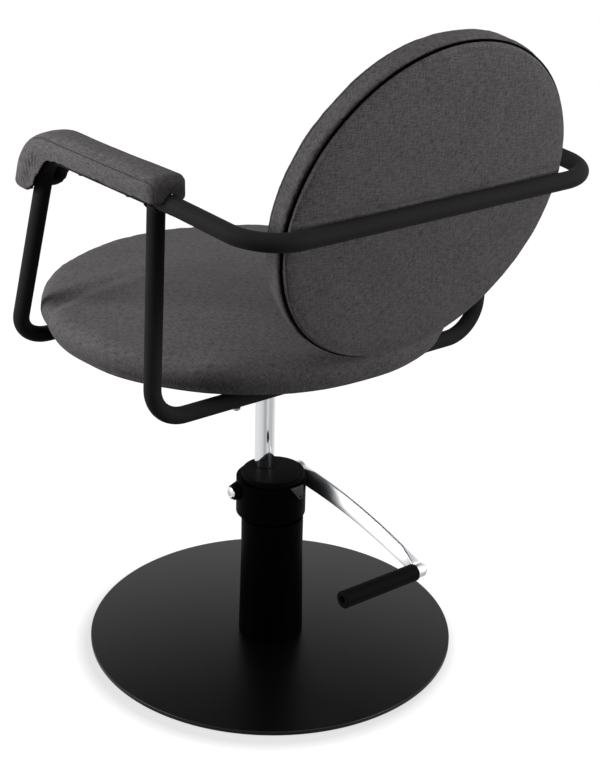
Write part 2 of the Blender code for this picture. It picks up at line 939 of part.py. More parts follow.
# the socket that turns on the ram, and the plate between the two cross tubes
def build_swivel():
    bush_inner = ram_radius + running_gap
    bush_outer = bush_inner + bush_wall
    hub_bore = bush_outer + clearance
    roof = hub_top - hub_roof
    hub = turned(
        "swivel_hub",
        [
            (0, hub_top),
            (hub_flange_radius, hub_top),
            (hub_flange_radius, hub_top - hub_flange_thickness),
            (hub_radius, hub_top - 2 * hub_flange_thickness),
            (hub_radius, hub_bottom),
            (hub_bore, hub_bottom),
            (hub_bore, roof),
            (0, roof),
        ],
        (0, ram_y, 0),
    )
    add_part(hub, black_paint, seat_holder)
    washer_bottom = roof - clearance - thrust_washer_thickness
    bush = turned(
        "swivel_bush",
        [
            (bush_outer, washer_bottom - clearance),
            (bush_outer, hub_bottom),
            (bush_inner, hub_bottom),
            (bush_inner, washer_bottom - clearance),
        ],
        (0, ram_y, 0),
    )
    add_part(bush, bush_plastic, seat_holder)
    washer = turned(
        "thrust_washer",
        [
            (0, roof - clearance),
            (bush_outer, roof - clearance),
            (bush_outer, washer_bottom),
            (0, washer_bottom),
        ],
        (0, ram_y, 0),
    )
    add_part(washer, bush_plastic, seat_holder)
    half = seat_plate_width / 2
    gap = tube_radius + clearance
    plate = box_mesh(
        "seat_plate",
        (-half, -front_tube_reach + gap, seat_plate_bottom),
        (half, rear_tube_reach - gap, seat_plate_top),
    )
    add_part(plate, black_paint, seat_holder)


def arm_corners(side):
    front_x = side * rail_x(-arm_front_reach)
    return [
        (side * clearance / 2, -front_tube_reach, cross_tube_height),
        (front_x, -front_tube_reach, cross_tube_height),
        (front_x, -arm_front_reach, arm_height),
        (side * rail_x(rail_joint_y), rail_joint_y, arm_height),
    ]


# seat screws, as (x, y) under the two cross tubes
def seat_screw_places():
    return [
        (side * seat_screw_half_spread, y)
        for y in (-front_tube_reach, rear_tube_reach)
        for side in (1, -1)
    ]


# pad screws of one side, as (x, y) under the rail
def pad_screw_spots(side):
    front_y = arm_bend_start_y()
    spots = []
    for share in pad_screw_places:
        y = front_y + (rear_upright_top - front_y) * share
        spots.append((side * rail_x(y), y))
    return spots


def arm_turn():
    # The angle through which the arm tube turns from the rail to the front upright.
    return math.pi / 2 - math.atan2(front_tube_reach - arm_front_reach, arm_height - cross_tube_height)


def arm_bend_start_y():
    return -arm_front_reach + arm_bend_radius * math.tan(arm_turn() / 2)


def build_frame():
    low = cross_tube_height - 2 * tube_radius
    high = cross_tube_height + 2 * tube_radius
    screw_hole = seat_screw_radius + clearance
    for side in (1, -1):
        loop = bent_tube(
            "left_loop" if side > 0 else "right_loop",
            fillet_path(arm_corners(side), (lower_bend_radius, arm_bend_radius)),
        )
        for x, y in seat_screw_places():
            if y < 0 and x * side > 0:
                bored(loop, (x, y, low), (x, y, high), screw_hole)
        for x, y in pad_screw_spots(side):
            reach = 2 * tube_radius
            hole = pad_screw_radius + clearance
            bored(loop, (x, y, arm_height - reach), (x, y, arm_height + reach), hole)
        add_part(loop, black_paint, seat_holder)

    joint_y = rail_joint_y + clearance
    lead_y = joint_y + bar_lead_length
    bar_path = fillet_path(
        [
            (rail_x(joint_y), joint_y, arm_height),
            (rail_x(lead_y), lead_y, arm_height),
            (back_corner_half_width, back_bar_reach, back_bar_height),
            (-back_corner_half_width, back_bar_reach, back_bar_height),
            (-rail_x(lead_y), lead_y, arm_height),
            (-rail_x(joint_y), joint_y, arm_height),
        ],
        (bar_lead_radius, back_bend_radius, back_bend_radius, bar_lead_radius),
    )
    bar = bent_tube("back_bar", bar_path)
    for side in (1, -1):
        middle = bar_centre(side * back_bolt_half_spread)
        start = middle - back_normal * 2 * tube_radius
        bored(bar, start, middle + back_normal * (back_bolt_bite - tube_radius), back_bolt_radius + clearance)
    add_part(bar, black_paint, seat_holder)

    upright_x = rail_x(rear_upright_top)
    hoop_path = fillet_path(
        [
            (upright_x, rear_upright_top, arm_height),
            (upright_x, rear_tube_reach, cross_tube_height),
            (-upright_x, rear_tube_reach, cross_tube_height),
            (-upright_x, rear_upright_top, arm_height),
        ],
        (lower_bend_radius, lower_bend_radius),
    )
    hoop = bent_tube("rear_hoop", hoop_path)
    for side in (1, -1):
        # the upright's top is shaped to the underside of the rail
        ends = [(side * rail_x(y), y, arm_height) for y in (arm_bend_start_y(), rail_joint_y)]
        word = "left" if side > 0 else "right"
        cut(hoop, rod_mesh(f"cope_{word}", ends[0], ends[1], tube_radius + clearance))
    for x, y in seat_screw_places():
        if y > 0:
            bored(hoop, (x, y, low), (x, y, high), screw_hole)
    add_part(hoop, black_paint, seat_holder)


def bar_centre(x):
    return Vector((x, back_bar_reach, back_bar_height))


def crown_shape():
    # A cushion's crown from its middle outwards: shares of its radius, and of its height there.
    shares = [i / cushion_crown_steps for i in range(cushion_crown_steps)]
    return [(share, math.cos(share * math.pi / 2) ** cushion_crown_power) for share in shares]


# seat: a board on the cross tubes and a round cushion on it
def build_seat():
    board = turned(
        "seat_board",
        [
            (0, seat_board_top),
            (seat_board_radius, seat_board_top),
            (seat_board_radius, seat_board_bottom),
            (0, seat_board_bottom),
        ],
        (0, seat_centre_y, 0),
        steps=large_round_steps,
    )
    below = seat_board_bottom - seat_board_thickness
    bite_top = seat_board_bottom + seat_screw_bite + clearance
    head_seat = cross_tube_height - tube_radius - clearance
    length = seat_board_bottom + seat_screw_bite - head_seat
    for number, (x, y) in enumerate(seat_screw_places(), 1):
        bored(board, (x, y, below), (x, y, bite_top), seat_screw_radius + clearance)
        screw = screw_up(
            f"seat_screw_{number}",
            (x, y, head_seat),
            seat_screw_radius,
            seat_screw_head_radius,
            seat_screw_head_height,
            length,
        )
        add_part(screw, bright_steel, seat_holder)
    add_part(board, plywood, seat_holder)

    edge = seat_lower_edge_radius
    low = seat_board_top + clearance
    shoulder = seat_shoulder_radius
    side_radius = seat_radius - seat_side_bulge
    shoulder_z = low + seat_side_height - shoulder
    rim = (side_radius - shoulder, shoulder_z + shoulder)
    crown_rise = low + seat_crown - rim[1]
    profile = [(rim[0] * share, rim[1] + crown_rise * fall) for share, fall in crown_shape()]
    profile += arc((side_radius - shoulder, shoulder_z), shoulder, cushion_shoulder_deg, 0, 5)
    profile += [(seat_radius, (shoulder_z + low + edge) / 2)]
    profile += arc((side_radius - edge, low + edge), edge, 0, -90, 4)
    profile += [(0, low)]
    cushion = turned("seat_cushion", profile, (0, seat_centre_y, 0), steps=large_round_steps)
    add_part(cushion, charcoal_cloth, seat_holder)


# back: two upholstered halves on a board, bolted to the bar. Built along +Z, then turned to the rear normal.
def build_back():
    turn = (back_turn, 0, 0)
    place = back_centre
    half = back_board_thickness / 2
    board_radius = back_radius - back_board_inset
    board = turned(
        "back_board",
        [(0, half), (board_radius, half), (board_radius, -half), (0, -half)],
        place,
        turn,
        large_round_steps,
    )
    edge = back_panel_edge_radius
    seam = back_panel_seam_radius
    panel_radius = back_radius - back_panel_inset
    panel_profile = [(0, panel_rear)]
    panel_profile += arc((panel_radius - edge, panel_rear - edge), edge, 90, 0, 4)
    panel_profile += arc((panel_radius - seam, panel_front + seam), seam, 0, -90, 3)
    panel_profile += [(0, panel_front)]
    panel = turned("back_panel", panel_profile, place, turn, large_round_steps)

    shoulder = back_shoulder_radius
    side_end = -panel_front - back_cushion_side
    rim = back_radius - shoulder
    crown = back_cushion_crown - back_cushion_side
    seam = back_seam_radius
    profile = [(0, -panel_front)]
    profile += arc((back_radius - seam, -panel_front - seam), seam, 90, 0, 3)
    profile += arc((rim, side_end + shoulder), shoulder, 0, -cushion_shoulder_deg, 5)
    profile += [(rim * share, side_end - crown * fall) for share, fall in reversed(crown_shape())]
    cushion = turned("back_cushion", profile, place, turn, large_round_steps)

    for number, side in enumerate((1, -1), 1):
        middle = bar_centre(side * back_bolt_half_spread)
        board_front = middle - back_normal * (bar_offset + half + clearance)
        bolt_end = middle + back_normal * (back_bolt_bite - tube_radius - clearance)
        length = (bolt_end - board_front).length
        bolt = screw_up(
            f"back_bolt_{number}",
            board_front,
            back_bolt_radius,
            back_bolt_head_radius,
            back_bolt_head_height,
            length,
        )
        bolt.rotation_euler = turn
        hole = back_bolt_radius + clearance
        for holed in (board, panel):
            bored(holed, board_front - back_normal * half, middle, hole)
        pocket_end = board_front - back_normal * (back_bolt_head_height + clearance)
        bored(cushion, pocket_end, middle, back_bolt_head_radius + clearance)
        add_part(bolt, bright_steel, seat_holder)
    add_part(board, black_paint, seat_holder)
    add_part(panel, charcoal_cloth, seat_holder)
    add_part(cushion, charcoal_cloth, seat_holder)


def arm_stations(side, rear_y, drop):
    # Frames along the arm tube from the rear forwards: a point, the outward side and the way out of the bend.
    turn = arm_turn()
    front_x = rail_x(-arm_front_reach)
    bend_start = arm_bend_start_y()
    centre = Vector((0, bend_start, arm_height - arm_bend_radius))
    stations = []
    rail_steps = 4
    for i in range(rail_steps + 1):
        y = rear_y + (bend_start - rear_y) * i / rail_steps
        stations.append((Vector((rail_x(y), y, arm_height)), Vector((0, 0, 1))))
    bend_steps = 7
    for i in range(1, bend_steps + 1):
        angle = turn * i / bend_steps
        out = Vector((0, -math.sin(angle), math.cos(angle)))
        point = centre + out * arm_bend_radius
        stations.append((Vector((front_x, point.y, point.z)), out))
    point, out = stations[-1]
    down = Vector((0, -out.z, out.y))
    stations.append((point + down * drop, out))
    return [(Vector((side * p.x, p.y, p.z)), Vector((side, 0, 0)), out) for p, out in stations]


def swept(name, stations, section):
    # A section of (across, out) points carried along the stations, with flat ends.
    bm = bmesh.new()
    rings = []
    for (point, across, out), shape in zip(stations, section):
        rings.append([bm.verts.new(point + across * a + out * b) for a, b in shape])
    for first, second in zip(rings, rings[1:]):
        for i in range(len(first)):
            bm.faces.new((first[i - 1], first[i], second[i], second[i - 1]))
    bm.faces.new(rings[0])
    bm.faces.new(rings[-1])
    bmesh.ops.recalc_face_normals(bm, faces=bm.faces)
    mesh = bpy.data.meshes.new(name)
    bm.to_mesh(mesh)
    bm.free()
    return bpy.data.objects.new(name, mesh)


def pad_section(inset):
    # An inverted U: a crowned top, rounded sides, and a channel for the plate.
    half = pad_half_width - inset
    low = pad_base + pad_plate_thickness - pad_skirt + inset / 3
    shoulder_out = pad_seat + pad_thickness - pad_crown - inset
    top = pad_seat + pad_thickness - inset
    channel = pad_plate_half_width + clearance - inset
    lip = (half + channel) / 2
    right = [
        (channel, pad_seat),
        (channel, low),
        (lip, low),
        (half, (low + pad_seat) / 2),
        (half, (pad_seat + shoulder_out) / 2),
        (half * pad_shoulder_share, shoulder_out),
        (half * pad_quarter_share, top - pad_crown * pad_quarter_fall),
    ]
    left = [(-a, b) for a, b in reversed(right)]
    return right + [(0, top)] + left


def rounded_end(last, before, radius):
    # Stations from a pad's end inwards, with how far each section shrinks to round it off.
    inward = (before[0] - last[0]).normalized()
    first_place = pad_round_places[0]
    stations = []
    insets = []
    for place in pad_round_places:
        point = last[0] + inward * radius * (place - first_place)
        stations.append((point, last[1], last[2]))
        insets.append(radius * (1 - math.sqrt(1 - (1 - place) ** 2)))
    return stations, insets


# arm pads on their plates, which follow the rail and curl down over its front bend
def build_pads():
    number = 0
    for side in (1, -1):
        word = "left" if side > 0 else "right"
        plate_stations = arm_stations(side, pad_rear_y - pad_rear_round, pad_curl_drop - pad_curl_round)
        half = pad_plate_half_width
        high = pad_base + pad_plate_thickness
        strip = [(-half, pad_base), (half, pad_base), (half, high), (-half, high)]
        plate = swept(f"{word}_pad_plate", plate_stations, [strip] * len(plate_stations))

        run = arm_stations(side, pad_rear_y, pad_curl_drop)
        rear, rear_insets = rounded_end(run[0], run[1], pad_rear_round)
        curl, curl_insets = rounded_end(run[-1], run[-2], pad_curl_round)
        stations = rear + run[1:-1] + curl[::-1]
        insets = rear_insets + [0.0] * len(run[1:-1]) + curl_insets[::-1]
        pad = swept(f"{word}_arm_pad", stations, [pad_section(inset) for inset in insets])

        for x, y in pad_screw_spots(side):
            number += 1
            head_seat = arm_height - tube_radius - clearance
            length = arm_height + high - head_seat
            screw = screw_up(
                f"pad_screw_{number}",
                (x, y, head_seat),
                pad_screw_radius,
                pad_screw_head_radius,
                pad_screw_head_height,
                length,
            )
            add_part(screw, bright_steel, seat_holder)
            low = arm_height + pad_base - tube_radius
            top = arm_height + high + pad_plate_thickness
            bored(plate, (x, y, low), (x, y, top), pad_screw_radius + clearance)
        add_part(plate, black_paint, seat_holder)
        add_part(pad, charcoal_cloth, seat_holder)


build_base()
build_column()
build_head()
build_ram()
build_plunger()
build_lever()
build_swivel()
build_frame()
build_seat()
build_back()
build_pads()
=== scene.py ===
# Hairdressing chair, dressed for its photograph: smooth metal, swollen cloth cushions, studio light.
import math
import bmesh
import bpy
import numpy as np
from mathutils import Matrix, Vector, noise
from mathutils.bvhtree import BVHTree


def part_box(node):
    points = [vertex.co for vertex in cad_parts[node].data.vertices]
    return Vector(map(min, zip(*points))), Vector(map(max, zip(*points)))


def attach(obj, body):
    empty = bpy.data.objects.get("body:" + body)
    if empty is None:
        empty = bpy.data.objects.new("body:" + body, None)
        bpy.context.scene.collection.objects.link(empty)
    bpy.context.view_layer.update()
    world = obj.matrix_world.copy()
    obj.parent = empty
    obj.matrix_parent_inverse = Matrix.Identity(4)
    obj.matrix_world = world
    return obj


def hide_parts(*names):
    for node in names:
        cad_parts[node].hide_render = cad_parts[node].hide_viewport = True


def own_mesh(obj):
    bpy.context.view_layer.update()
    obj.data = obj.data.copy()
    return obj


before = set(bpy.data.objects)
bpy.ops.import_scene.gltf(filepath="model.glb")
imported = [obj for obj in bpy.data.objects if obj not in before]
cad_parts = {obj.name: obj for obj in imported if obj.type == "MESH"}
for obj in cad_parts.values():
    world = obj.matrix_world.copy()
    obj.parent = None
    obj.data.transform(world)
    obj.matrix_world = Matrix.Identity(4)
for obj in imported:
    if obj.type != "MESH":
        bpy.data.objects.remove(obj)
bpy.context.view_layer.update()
scene = bpy.context.scene
upZ = Vector((0, 0, 1))
arms = ((1, "left"), (-1, "right"))
play = 0.0003  # room between pieces that fit in one another
overrun = 0.01  # how far a cutter passes what it cuts


# Colours are written as sRGB hex and turned to linear here
def hexColour(code):
    channels = [int(code[i:i + 2], 16) / 255 for i in (1, 3, 5)]
    linear = [c / 12.92 if c <= 0.04045 else ((c + 0.055) / 1.055) ** 2.4 for c in channels]
    return (*linear, 1)


# Adds one node: settings are inputs or properties, links are socket to source
def addNode(tree, kind, settings=None, links=None):
    node = tree.nodes.new(kind)
    for key, value in (settings or {}).items():
        if isinstance(key, int) or key in node.inputs:
            node.inputs[key].default_value = value
        else:
            setattr(node, key, value)
    for socket, source in (links or {}).items():
        tree.links.new(source, node.inputs[socket])
    return node


def startMaterial(name, surface):
    material = bpy.data.materials.new(name)
    material.use_nodes = True
    tree = material.node_tree
    shader = tree.nodes["Principled BSDF"]
    for key, value in surface.items():
        shader.inputs[key].default_value = value
    return material, tree, shader


# A finish that is darker and duller in places, with a relief of its own grain or an orange peel
def finishMaterial(name, look, surface):
    material, tree, shader = startMaterial(name, surface)
    place = {"Vector": addNode(tree, "ShaderNodeTexCoord").outputs["Object"]}
    grain = addNode(tree, "ShaderNodeTexNoise", {"Scale": 1 / look["grain"], "Detail": 3.0}, place)
    relief = grain
    depth = 0.0003  # metres
    if "peel" in look:
        relief = addNode(tree, "ShaderNodeTexNoise", {"Scale": 1 / look["peel"], "Detail": 2.0}, place)
        depth = 0.0002
    tint = addNode(tree, "ShaderNodeMix",
                   {"data_type": "RGBA", 6: hexColour(look["dark"]), 7: hexColour(look["light"])},
                   {0: grain.outputs["Fac"]})
    rough = addNode(tree, "ShaderNodeMapRange",
                    {"To Min": look["rough"][0], "To Max": look["rough"][1]},
                    {"Value": grain.outputs["Fac"]})
    bump = addNode(tree, "ShaderNodeBump", {"Strength": look["bump"], "Distance": depth},
                   {"Height": relief.outputs["Fac"]})
    tree.links.new(tint.outputs[2], shader.inputs["Base Color"])
    tree.links.new(rough.outputs["Result"], shader.inputs["Roughness"])
    tree.links.new(bump.outputs["Normal"], shader.inputs["Normal"])
    return material


# Chrome plate over steel, with a faint roll in the polish: clear on ground steel, hazy on a forging
def chromeMaterial(name, haze):
    look = {"roll": 0.03, "colour": "#e6e7ea"}
    material, tree, shader = startMaterial(name, {"Metallic": 1.0, "Base Color": hexColour(look["colour"])})
    place = addNode(tree, "ShaderNodeTexCoord")
    roll = addNode(tree, "ShaderNodeTexNoise", {"Scale": 1 / look["roll"], "Detail": 1.0},
                   {"Vector": place.outputs["Object"]})
    blur = addNode(tree, "ShaderNodeMapRange", {"To Min": haze[0], "To Max": haze[1]},
                   {"Value": roll.outputs["Fac"]})
    bump = addNode(tree, "ShaderNodeBump", {"Strength": 0.05, "Distance": 0.004},
                   {"Height": roll.outputs["Fac"]})
    tree.links.new(blur.outputs["Result"], shader.inputs["Roughness"])
    tree.links.new(bump.outputs["Normal"], shader.inputs["Normal"])
    return material


# Charcoal upholstery cloth, plain woven from two-tone yarn: matt, heathered, with short slubs both ways
def clothMaterial():
    look = {
        "thread": 0.0017,  # drawn coarser than the real 0.6 mm yarn, so that it shows
        "slub": 0.012,
        "dark": "#403e3f",
        "light": "#787475",
        "cloud": 0.06,
        "contrast": (0.68, 1.32),
        "shade": 0.14,
        # the seam colour is painted shade, for the shadow in sewn grooves and in the valleys of gathers
        "seam": "#1b191a",
    }
    material, tree, shader = startMaterial(
        "charcoalUpholsteryCloth",
        {
            "Roughness": 0.95,
            "Specular IOR Level": 0.12,
            "Sheen Weight": 0.12,
            "Sheen Roughness": 0.45,
            "Sheen Tint": hexColour("#b9b5b4"),
        },
    )
    weave = addNode(tree, "ShaderNodeAttribute", {"attribute_name": "weave"})
    across = 1 / look["thread"]
    along = 1 / look["slub"]
    yarns = []
    for scale in ((across, along, 1.0), (along, across, 1.0)):
        lay = addNode(tree, "ShaderNodeMapping", {"Scale": scale}, {"Vector": weave.outputs["Vector"]})
        yarns.append(addNode(tree, "ShaderNodeTexNoise", {"Scale": 1.0, "Detail": 2.5, "Roughness": 0.62},
                             {"Vector": lay.outputs["Vector"]}))
    mixed = addNode(tree, "ShaderNodeMath", {"operation": "ADD"},
                    {0: yarns[0].outputs["Fac"], 1: yarns[1].outputs["Fac"]})
    heather = addNode(tree, "ShaderNodeMapRange",
                      {"From Min": look["contrast"][0], "From Max": look["contrast"][1]},
                      {"Value": mixed.outputs[0]})
    cloud = addNode(tree, "ShaderNodeTexNoise", {"Scale": 1 / look["cloud"], "Detail": 2.0},
                    {"Vector": weave.outputs["Vector"]})
    shade = addNode(tree, "ShaderNodeMapRange", {"To Min": -look["shade"], "To Max": look["shade"]},
                    {"Value": cloud.outputs["Fac"]})
    level = addNode(tree, "ShaderNodeMath", {"operation": "ADD", "use_clamp": True},
                    {0: heather.outputs["Result"], 1: shade.outputs["Result"]})
    tint = addNode(tree, "ShaderNodeMix",
                   {"data_type": "RGBA", 6: hexColour(look["dark"]), 7: hexColour(look["light"])},
                   {0: level.outputs[0]})
    # Painted shade: where the seam attribute is set, the colour darkens toward the seam colour, standing for
    # the shadow in sewn grooves and gathers
    seam = addNode(tree, "ShaderNodeAttribute", {"attribute_name": "seam"})
    sewn = addNode(tree, "ShaderNodeMix", {"data_type": "RGBA", 7: hexColour(look["seam"])},
                   {0: seam.outputs["Fac"], 6: tint.outputs[2]})
    bump = addNode(tree, "ShaderNodeBump", {"Strength": 0.30, "Distance": 0.0004},
                   {"Height": mixed.outputs[0]})
    tree.links.new(sewn.outputs[2], shader.inputs["Base Color"])
    tree.links.new(bump.outputs["Normal"], shader.inputs["Normal"])
    return material


powderCoat = finishMaterial(  # baked powder coat on the tube: matt, fine texture, a broad soft light side
    "mattPowderCoat",
    {"peel": 0.0011, "grain": 0.07, "dark": "#272728", "light": "#2d2d2e", "rough": (0.62, 0.72),
     "bump": 0.16},
    {"Specular IOR Level": 0.03},
)
satinLacquer = finishMaterial(  # sprayed lacquer on the plate: deep black with the room as a soft sheen
    "satinBlackLacquer",
    {"peel": 0.0022, "grain": 0.12, "dark": "#020202", "light": "#040404", "rough": (0.26, 0.31),
     "bump": 0.05},
    {"Specular IOR Level": 0.29},
)
dippedEnamel = finishMaterial(  # dipped enamel on the pump: smooth, very black, a faint gloss
    "dippedBlackEnamel",
    {"peel": 0.0030, "grain": 0.05, "dark": "#020202", "light": "#040404", "rough": (0.40, 0.48),
     "bump": 0.05},
    {"Specular IOR Level": 0.01},
)
chromePlate = chromeMaterial("chromePlate", (0.05, 0.11))  # ground and plated: mirrors the studio in streaks
satinChrome = chromeMaterial("satinChrome", (0.34, 0.42))  # plated forging: a bright, blurred sheen
upholsteryCloth = clothMaterial()
zincSteel = finishMaterial(  # zinc-plated fasteners: grey, a little cloudy
    "zincPlatedSteel",
    {"grain": 0.004, "dark": "#8d8f93", "light": "#b4b6b9", "rough": (0.24, 0.40), "bump": 0.05},
    {"Metallic": 1.0},
)
castIron = finishMaterial(  # a small sand casting, oiled: dark grey and slightly pitted
    "oiledCasting",
    {"grain": 0.0012, "dark": "#2a2a2c", "light": "#3c3c3f", "rough": (0.35, 0.55), "bump": 0.30},
    {"Metallic": 0.5},
)
nitrileRubber = finishMaterial(  # moulded rubber: matt black with a faint bloom
    "nitrileRubber",
    {"grain": 0.0009, "dark": "#040404", "light": "#090909", "rough": (0.58, 0.74), "bump": 0.22},
    {"Specular IOR Level": 0.05},
)
blackAbs = finishMaterial(  # moulded ABS with a spark-eroded texture: even black
    "texturedAbs",
    {"grain": 0.0007, "dark": "#030303", "light": "#060606", "rough": (0.46, 0.58), "bump": 0.20},
    {"Specular IOR Level": 0.02},
)
naturalNylon = finishMaterial(  # turned nylon: off-white, waxy
    "naturalNylon",
    {"grain": 0.006, "dark": "#d2cec2", "light": "#ded9cd", "rough": (0.42, 0.52), "bump": 0.05},
    {"Subsurface Weight": 0.1},
)
stainedPly = finishMaterial(  # plywood stained black: open grain, dull
    "stainedPlywood",
    {"grain": 0.003, "dark": "#141312", "light": "#221f1d", "rough": (0.70, 0.85), "bump": 0.35},
    {"Specular IOR Level": 0.3},
)
sewingThread = finishMaterial(  # bonded polyester thread: grey as the lighter yarn, slightly shiny
    "polyesterThread",
    {"grain": 0.0008, "dark": "#6d6a6b", "light": "#868384", "rough": (0.50, 0.65), "bump": 0.30},
    {},
)
print("materials made")


# Turns a bmesh into a named piece that rides on a body and stands for its CAD nodes
def addPiece(name, bm, body, material, stands=(), sharp=40):
    mesh = bpy.data.meshes.new(name)
    bm.to_mesh(mesh)
    bm.free()
    mesh.shade_smooth()
    mesh.set_sharp_from_angle(angle=math.radians(sharp))
    mesh.materials.append(material)
    piece = bpy.data.objects.new(name, mesh)
    scene.collection.objects.link(piece)
    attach(piece, body)
    if stands:
        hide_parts(*stands)
    return piece


# Rounds the corners of a profile, which is a list of (radius, height, rounding)
def roundProfile(points, steps=5):
    made = []
    for i, (r, z, rounding) in enumerate(points):
        here = Vector((r, z))
        if rounding == 0:
            made.append(here)
            continue
        before = Vector(points[i - 1][:2]) - here
        after = Vector(points[(i + 1) % len(points)][:2]) - here
        half = before.angle(after) / 2
        reach = rounding / math.tan(half)
        start = here + before.normalized() * reach
        end = here + after.normalized() * reach
        middle = here + (before.normalized() + after.normalized()).normalized() * rounding / math.sin(half)
        for k in range(steps + 1):
            spoke = (start - middle).lerp(end - middle, k / steps)
            made.append(middle + spoke.normalized() * rounding)
    return made


# A turned shape about an axis through the origin of its own frame
def spinShape(points, steps=96, matrix=None):
    profile = roundProfile(points)
    bm = bmesh.new()
    verts = [bm.verts.new((p.x, 0, p.y)) for p in profile]
    edges = [bm.edges.new(pair) for pair in zip(verts, verts[1:])]
    if profile[0].x > 0 and profile[-1].x > 0:
        edges.append(bm.edges.new((verts[-1], verts[0])))
    bmesh.ops.spin(bm, geom=verts + edges, cent=(0, 0, 0), axis=upZ, angle=2 * math.pi,
                   steps=steps, use_merge=True)
    bmesh.ops.remove_doubles(bm, verts=bm.verts, dist=0.00001)
    bmesh.ops.recalc_face_normals(bm, faces=bm.faces)
    if matrix is not None:
        bmesh.ops.transform(bm, matrix=matrix, verts=bm.verts)
    return bm


def alongX(x, y, z):
    return Matrix.Translation((x, y, z)) @ Matrix.Rotation(math.pi / 2, 4, "Y")


# A round bar between two points, used to join or carve
def rodShape(start, end, startRadius, endRadius=None, sides=48):
    start = Vector(start)
    end = Vector(end)
    bm = bmesh.new()
    turn = upZ.rotation_difference(end - start).to_matrix().to_4x4()
    bmesh.ops.create_cone(bm, cap_ends=True, segments=sides, radius1=startRadius,
                          radius2=startRadius if endRadius is None else endRadius,
                          depth=(end - start).length, matrix=Matrix.Translation((start + end) / 2) @ turn)
    return bm


# Joins or carves one bmesh with another by an exact Boolean, and gives the result back as a bmesh
def combine(bm, other, operation):
    made = []
    for part in (bm, other):
        mesh = bpy.data.meshes.new("work")
        part.to_mesh(mesh)
        part.free()
        worker = bpy.data.objects.new("work", mesh)
        scene.collection.objects.link(worker)
        made.append(worker)
    step = made[0].modifiers.new("step", "BOOLEAN")
    step.operation = operation
    step.solver = "EXACT"
    step.object = made[1]
    graph = bpy.context.evaluated_depsgraph_get()
    result = bmesh.new()
    result.from_mesh(made[0].evaluated_get(graph).to_mesh())
    for worker in made:
        bpy.data.objects.remove(worker, do_unlink=True)
    return result


# Rounds every edge sharper than an angle
def softenEdges(bm, width, angle=50, segments=3):
    edges = [e for e in bm.edges if len(e.link_faces) == 2 and e.calc_face_angle() > math.radians(angle)]
    bmesh.ops.bevel(bm, geom=edges, offset=width, offset_type="OFFSET", affect="EDGES",
                    segments=segments, profile=0.5, material=-1)
    return bm


# A closed ring of edges through points
def ringOf(bm, points):
    verts = [bm.verts.new(p) for p in points]
    return verts, [bm.edges.new((verts[i - 1], verts[i])) for i in range(len(verts))]


# The runs and bends of a path with rounded corners
def pathLegs(corners, radii):
    corners = [Vector(c) for c in corners]
    legs = []
    here = corners[0]
    for before, corner, after, radius in zip(corners, corners[1:], corners[2:], radii):
        into = (before - corner).normalized()
        out = (after - corner).normalized()
        half = into.angle(out) / 2
        middle = corner + (into + out).normalized() * radius / math.sin(half)
        reach = radius / math.tan(half)
        legs.append({"run": corner + into * reach - here})
        legs.append({"middle": middle, "axis": into.cross(-out).normalized(), "angle": math.pi - 2 * half})
        here = corner + out * reach
    legs.append({"run": corners[-1] - here})
    return legs


# Carries a closed ring of edges along the legs by extrude and spin, and closes both ends
def sweepRing(bm, verts, edges, legs, step, bendStep=4):
    ends = [edges]
    for leg in legs:
        if "run" in leg:
            count = max(1, round(leg["run"].length / step))
            for i in range(count):
                grown = bmesh.ops.extrude_edge_only(bm, edges=edges)["geom"]
                verts = [g for g in grown if isinstance(g, bmesh.types.BMVert)]
                edges = [g for g in grown if isinstance(g, bmesh.types.BMEdge)
                         and all(v in verts for v in g.verts)]
                bmesh.ops.translate(bm, vec=leg["run"] / count, verts=verts)
        else:
            count = max(3, round(math.degrees(leg["angle"]) / bendStep))
            grown = bmesh.ops.spin(bm, geom=verts + edges, cent=leg["middle"], axis=leg["axis"],
                                   angle=leg["angle"], steps=count)["geom_last"]
            verts = [g for g in grown if isinstance(g, bmesh.types.BMVert)]
            edges = [g for g in grown if isinstance(g, bmesh.types.BMEdge)]
    ends.append(edges)
    for rim in ends:
        bmesh.ops.edgeloop_fill(bm, edges=rim)
    bmesh.ops.recalc_face_normals(bm, faces=bm.faces)
    return bm


def tubeShape(corners, radii, radius, step=0.02):
    bm = bmesh.new()
    first = Vector(corners[1]) - Vector(corners[0])
    turn = upZ.rotation_difference(first).to_matrix().to_4x4()
    verts = bmesh.ops.create_circle(bm, segments=40, radius=radius,
                                    matrix=Matrix.Translation(corners[0]) @ turn)["verts"]
    return sweepRing(bm, verts, bm.edges[:], pathLegs(corners, radii), step)


# Base plate, with a turned edge, and its rubber ring
def makeBase():
    plate = {"edge": 0.0012}
    low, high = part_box("base_plate")
    shape = spinShape([
        (0, high.z, 0),
        (high.x, high.z, plate["edge"]),
        (high.x, low.z, plate["edge"]),
        (0, low.z, 0),
    ], steps=200)
    addPiece("basePlate", shape, "base", satinLacquer, ["base_plate"])
    ring = {"width": 0.020, "edge": 0.0006}
    low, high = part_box("floor_ring")
    inner = high.x - ring["width"]
    shape = spinShape([
        (high.x, high.z, ring["edge"]),
        (high.x, low.z, ring["edge"]),
        (inner, low.z, ring["edge"]),
        (inner, high.z, ring["edge"]),
    ], steps=160)
    addPiece("floorRing", shape, "base", nitrileRubber, ["floor_ring"])
    print("base made")


ramLow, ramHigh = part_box("ram")
ramRadius = (ramHigh.x - ramLow.x) / 2
ramY = (ramLow.y + ramHigh.y) / 2
pivotZ = sum(c.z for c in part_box("lever_shaft")) / 2


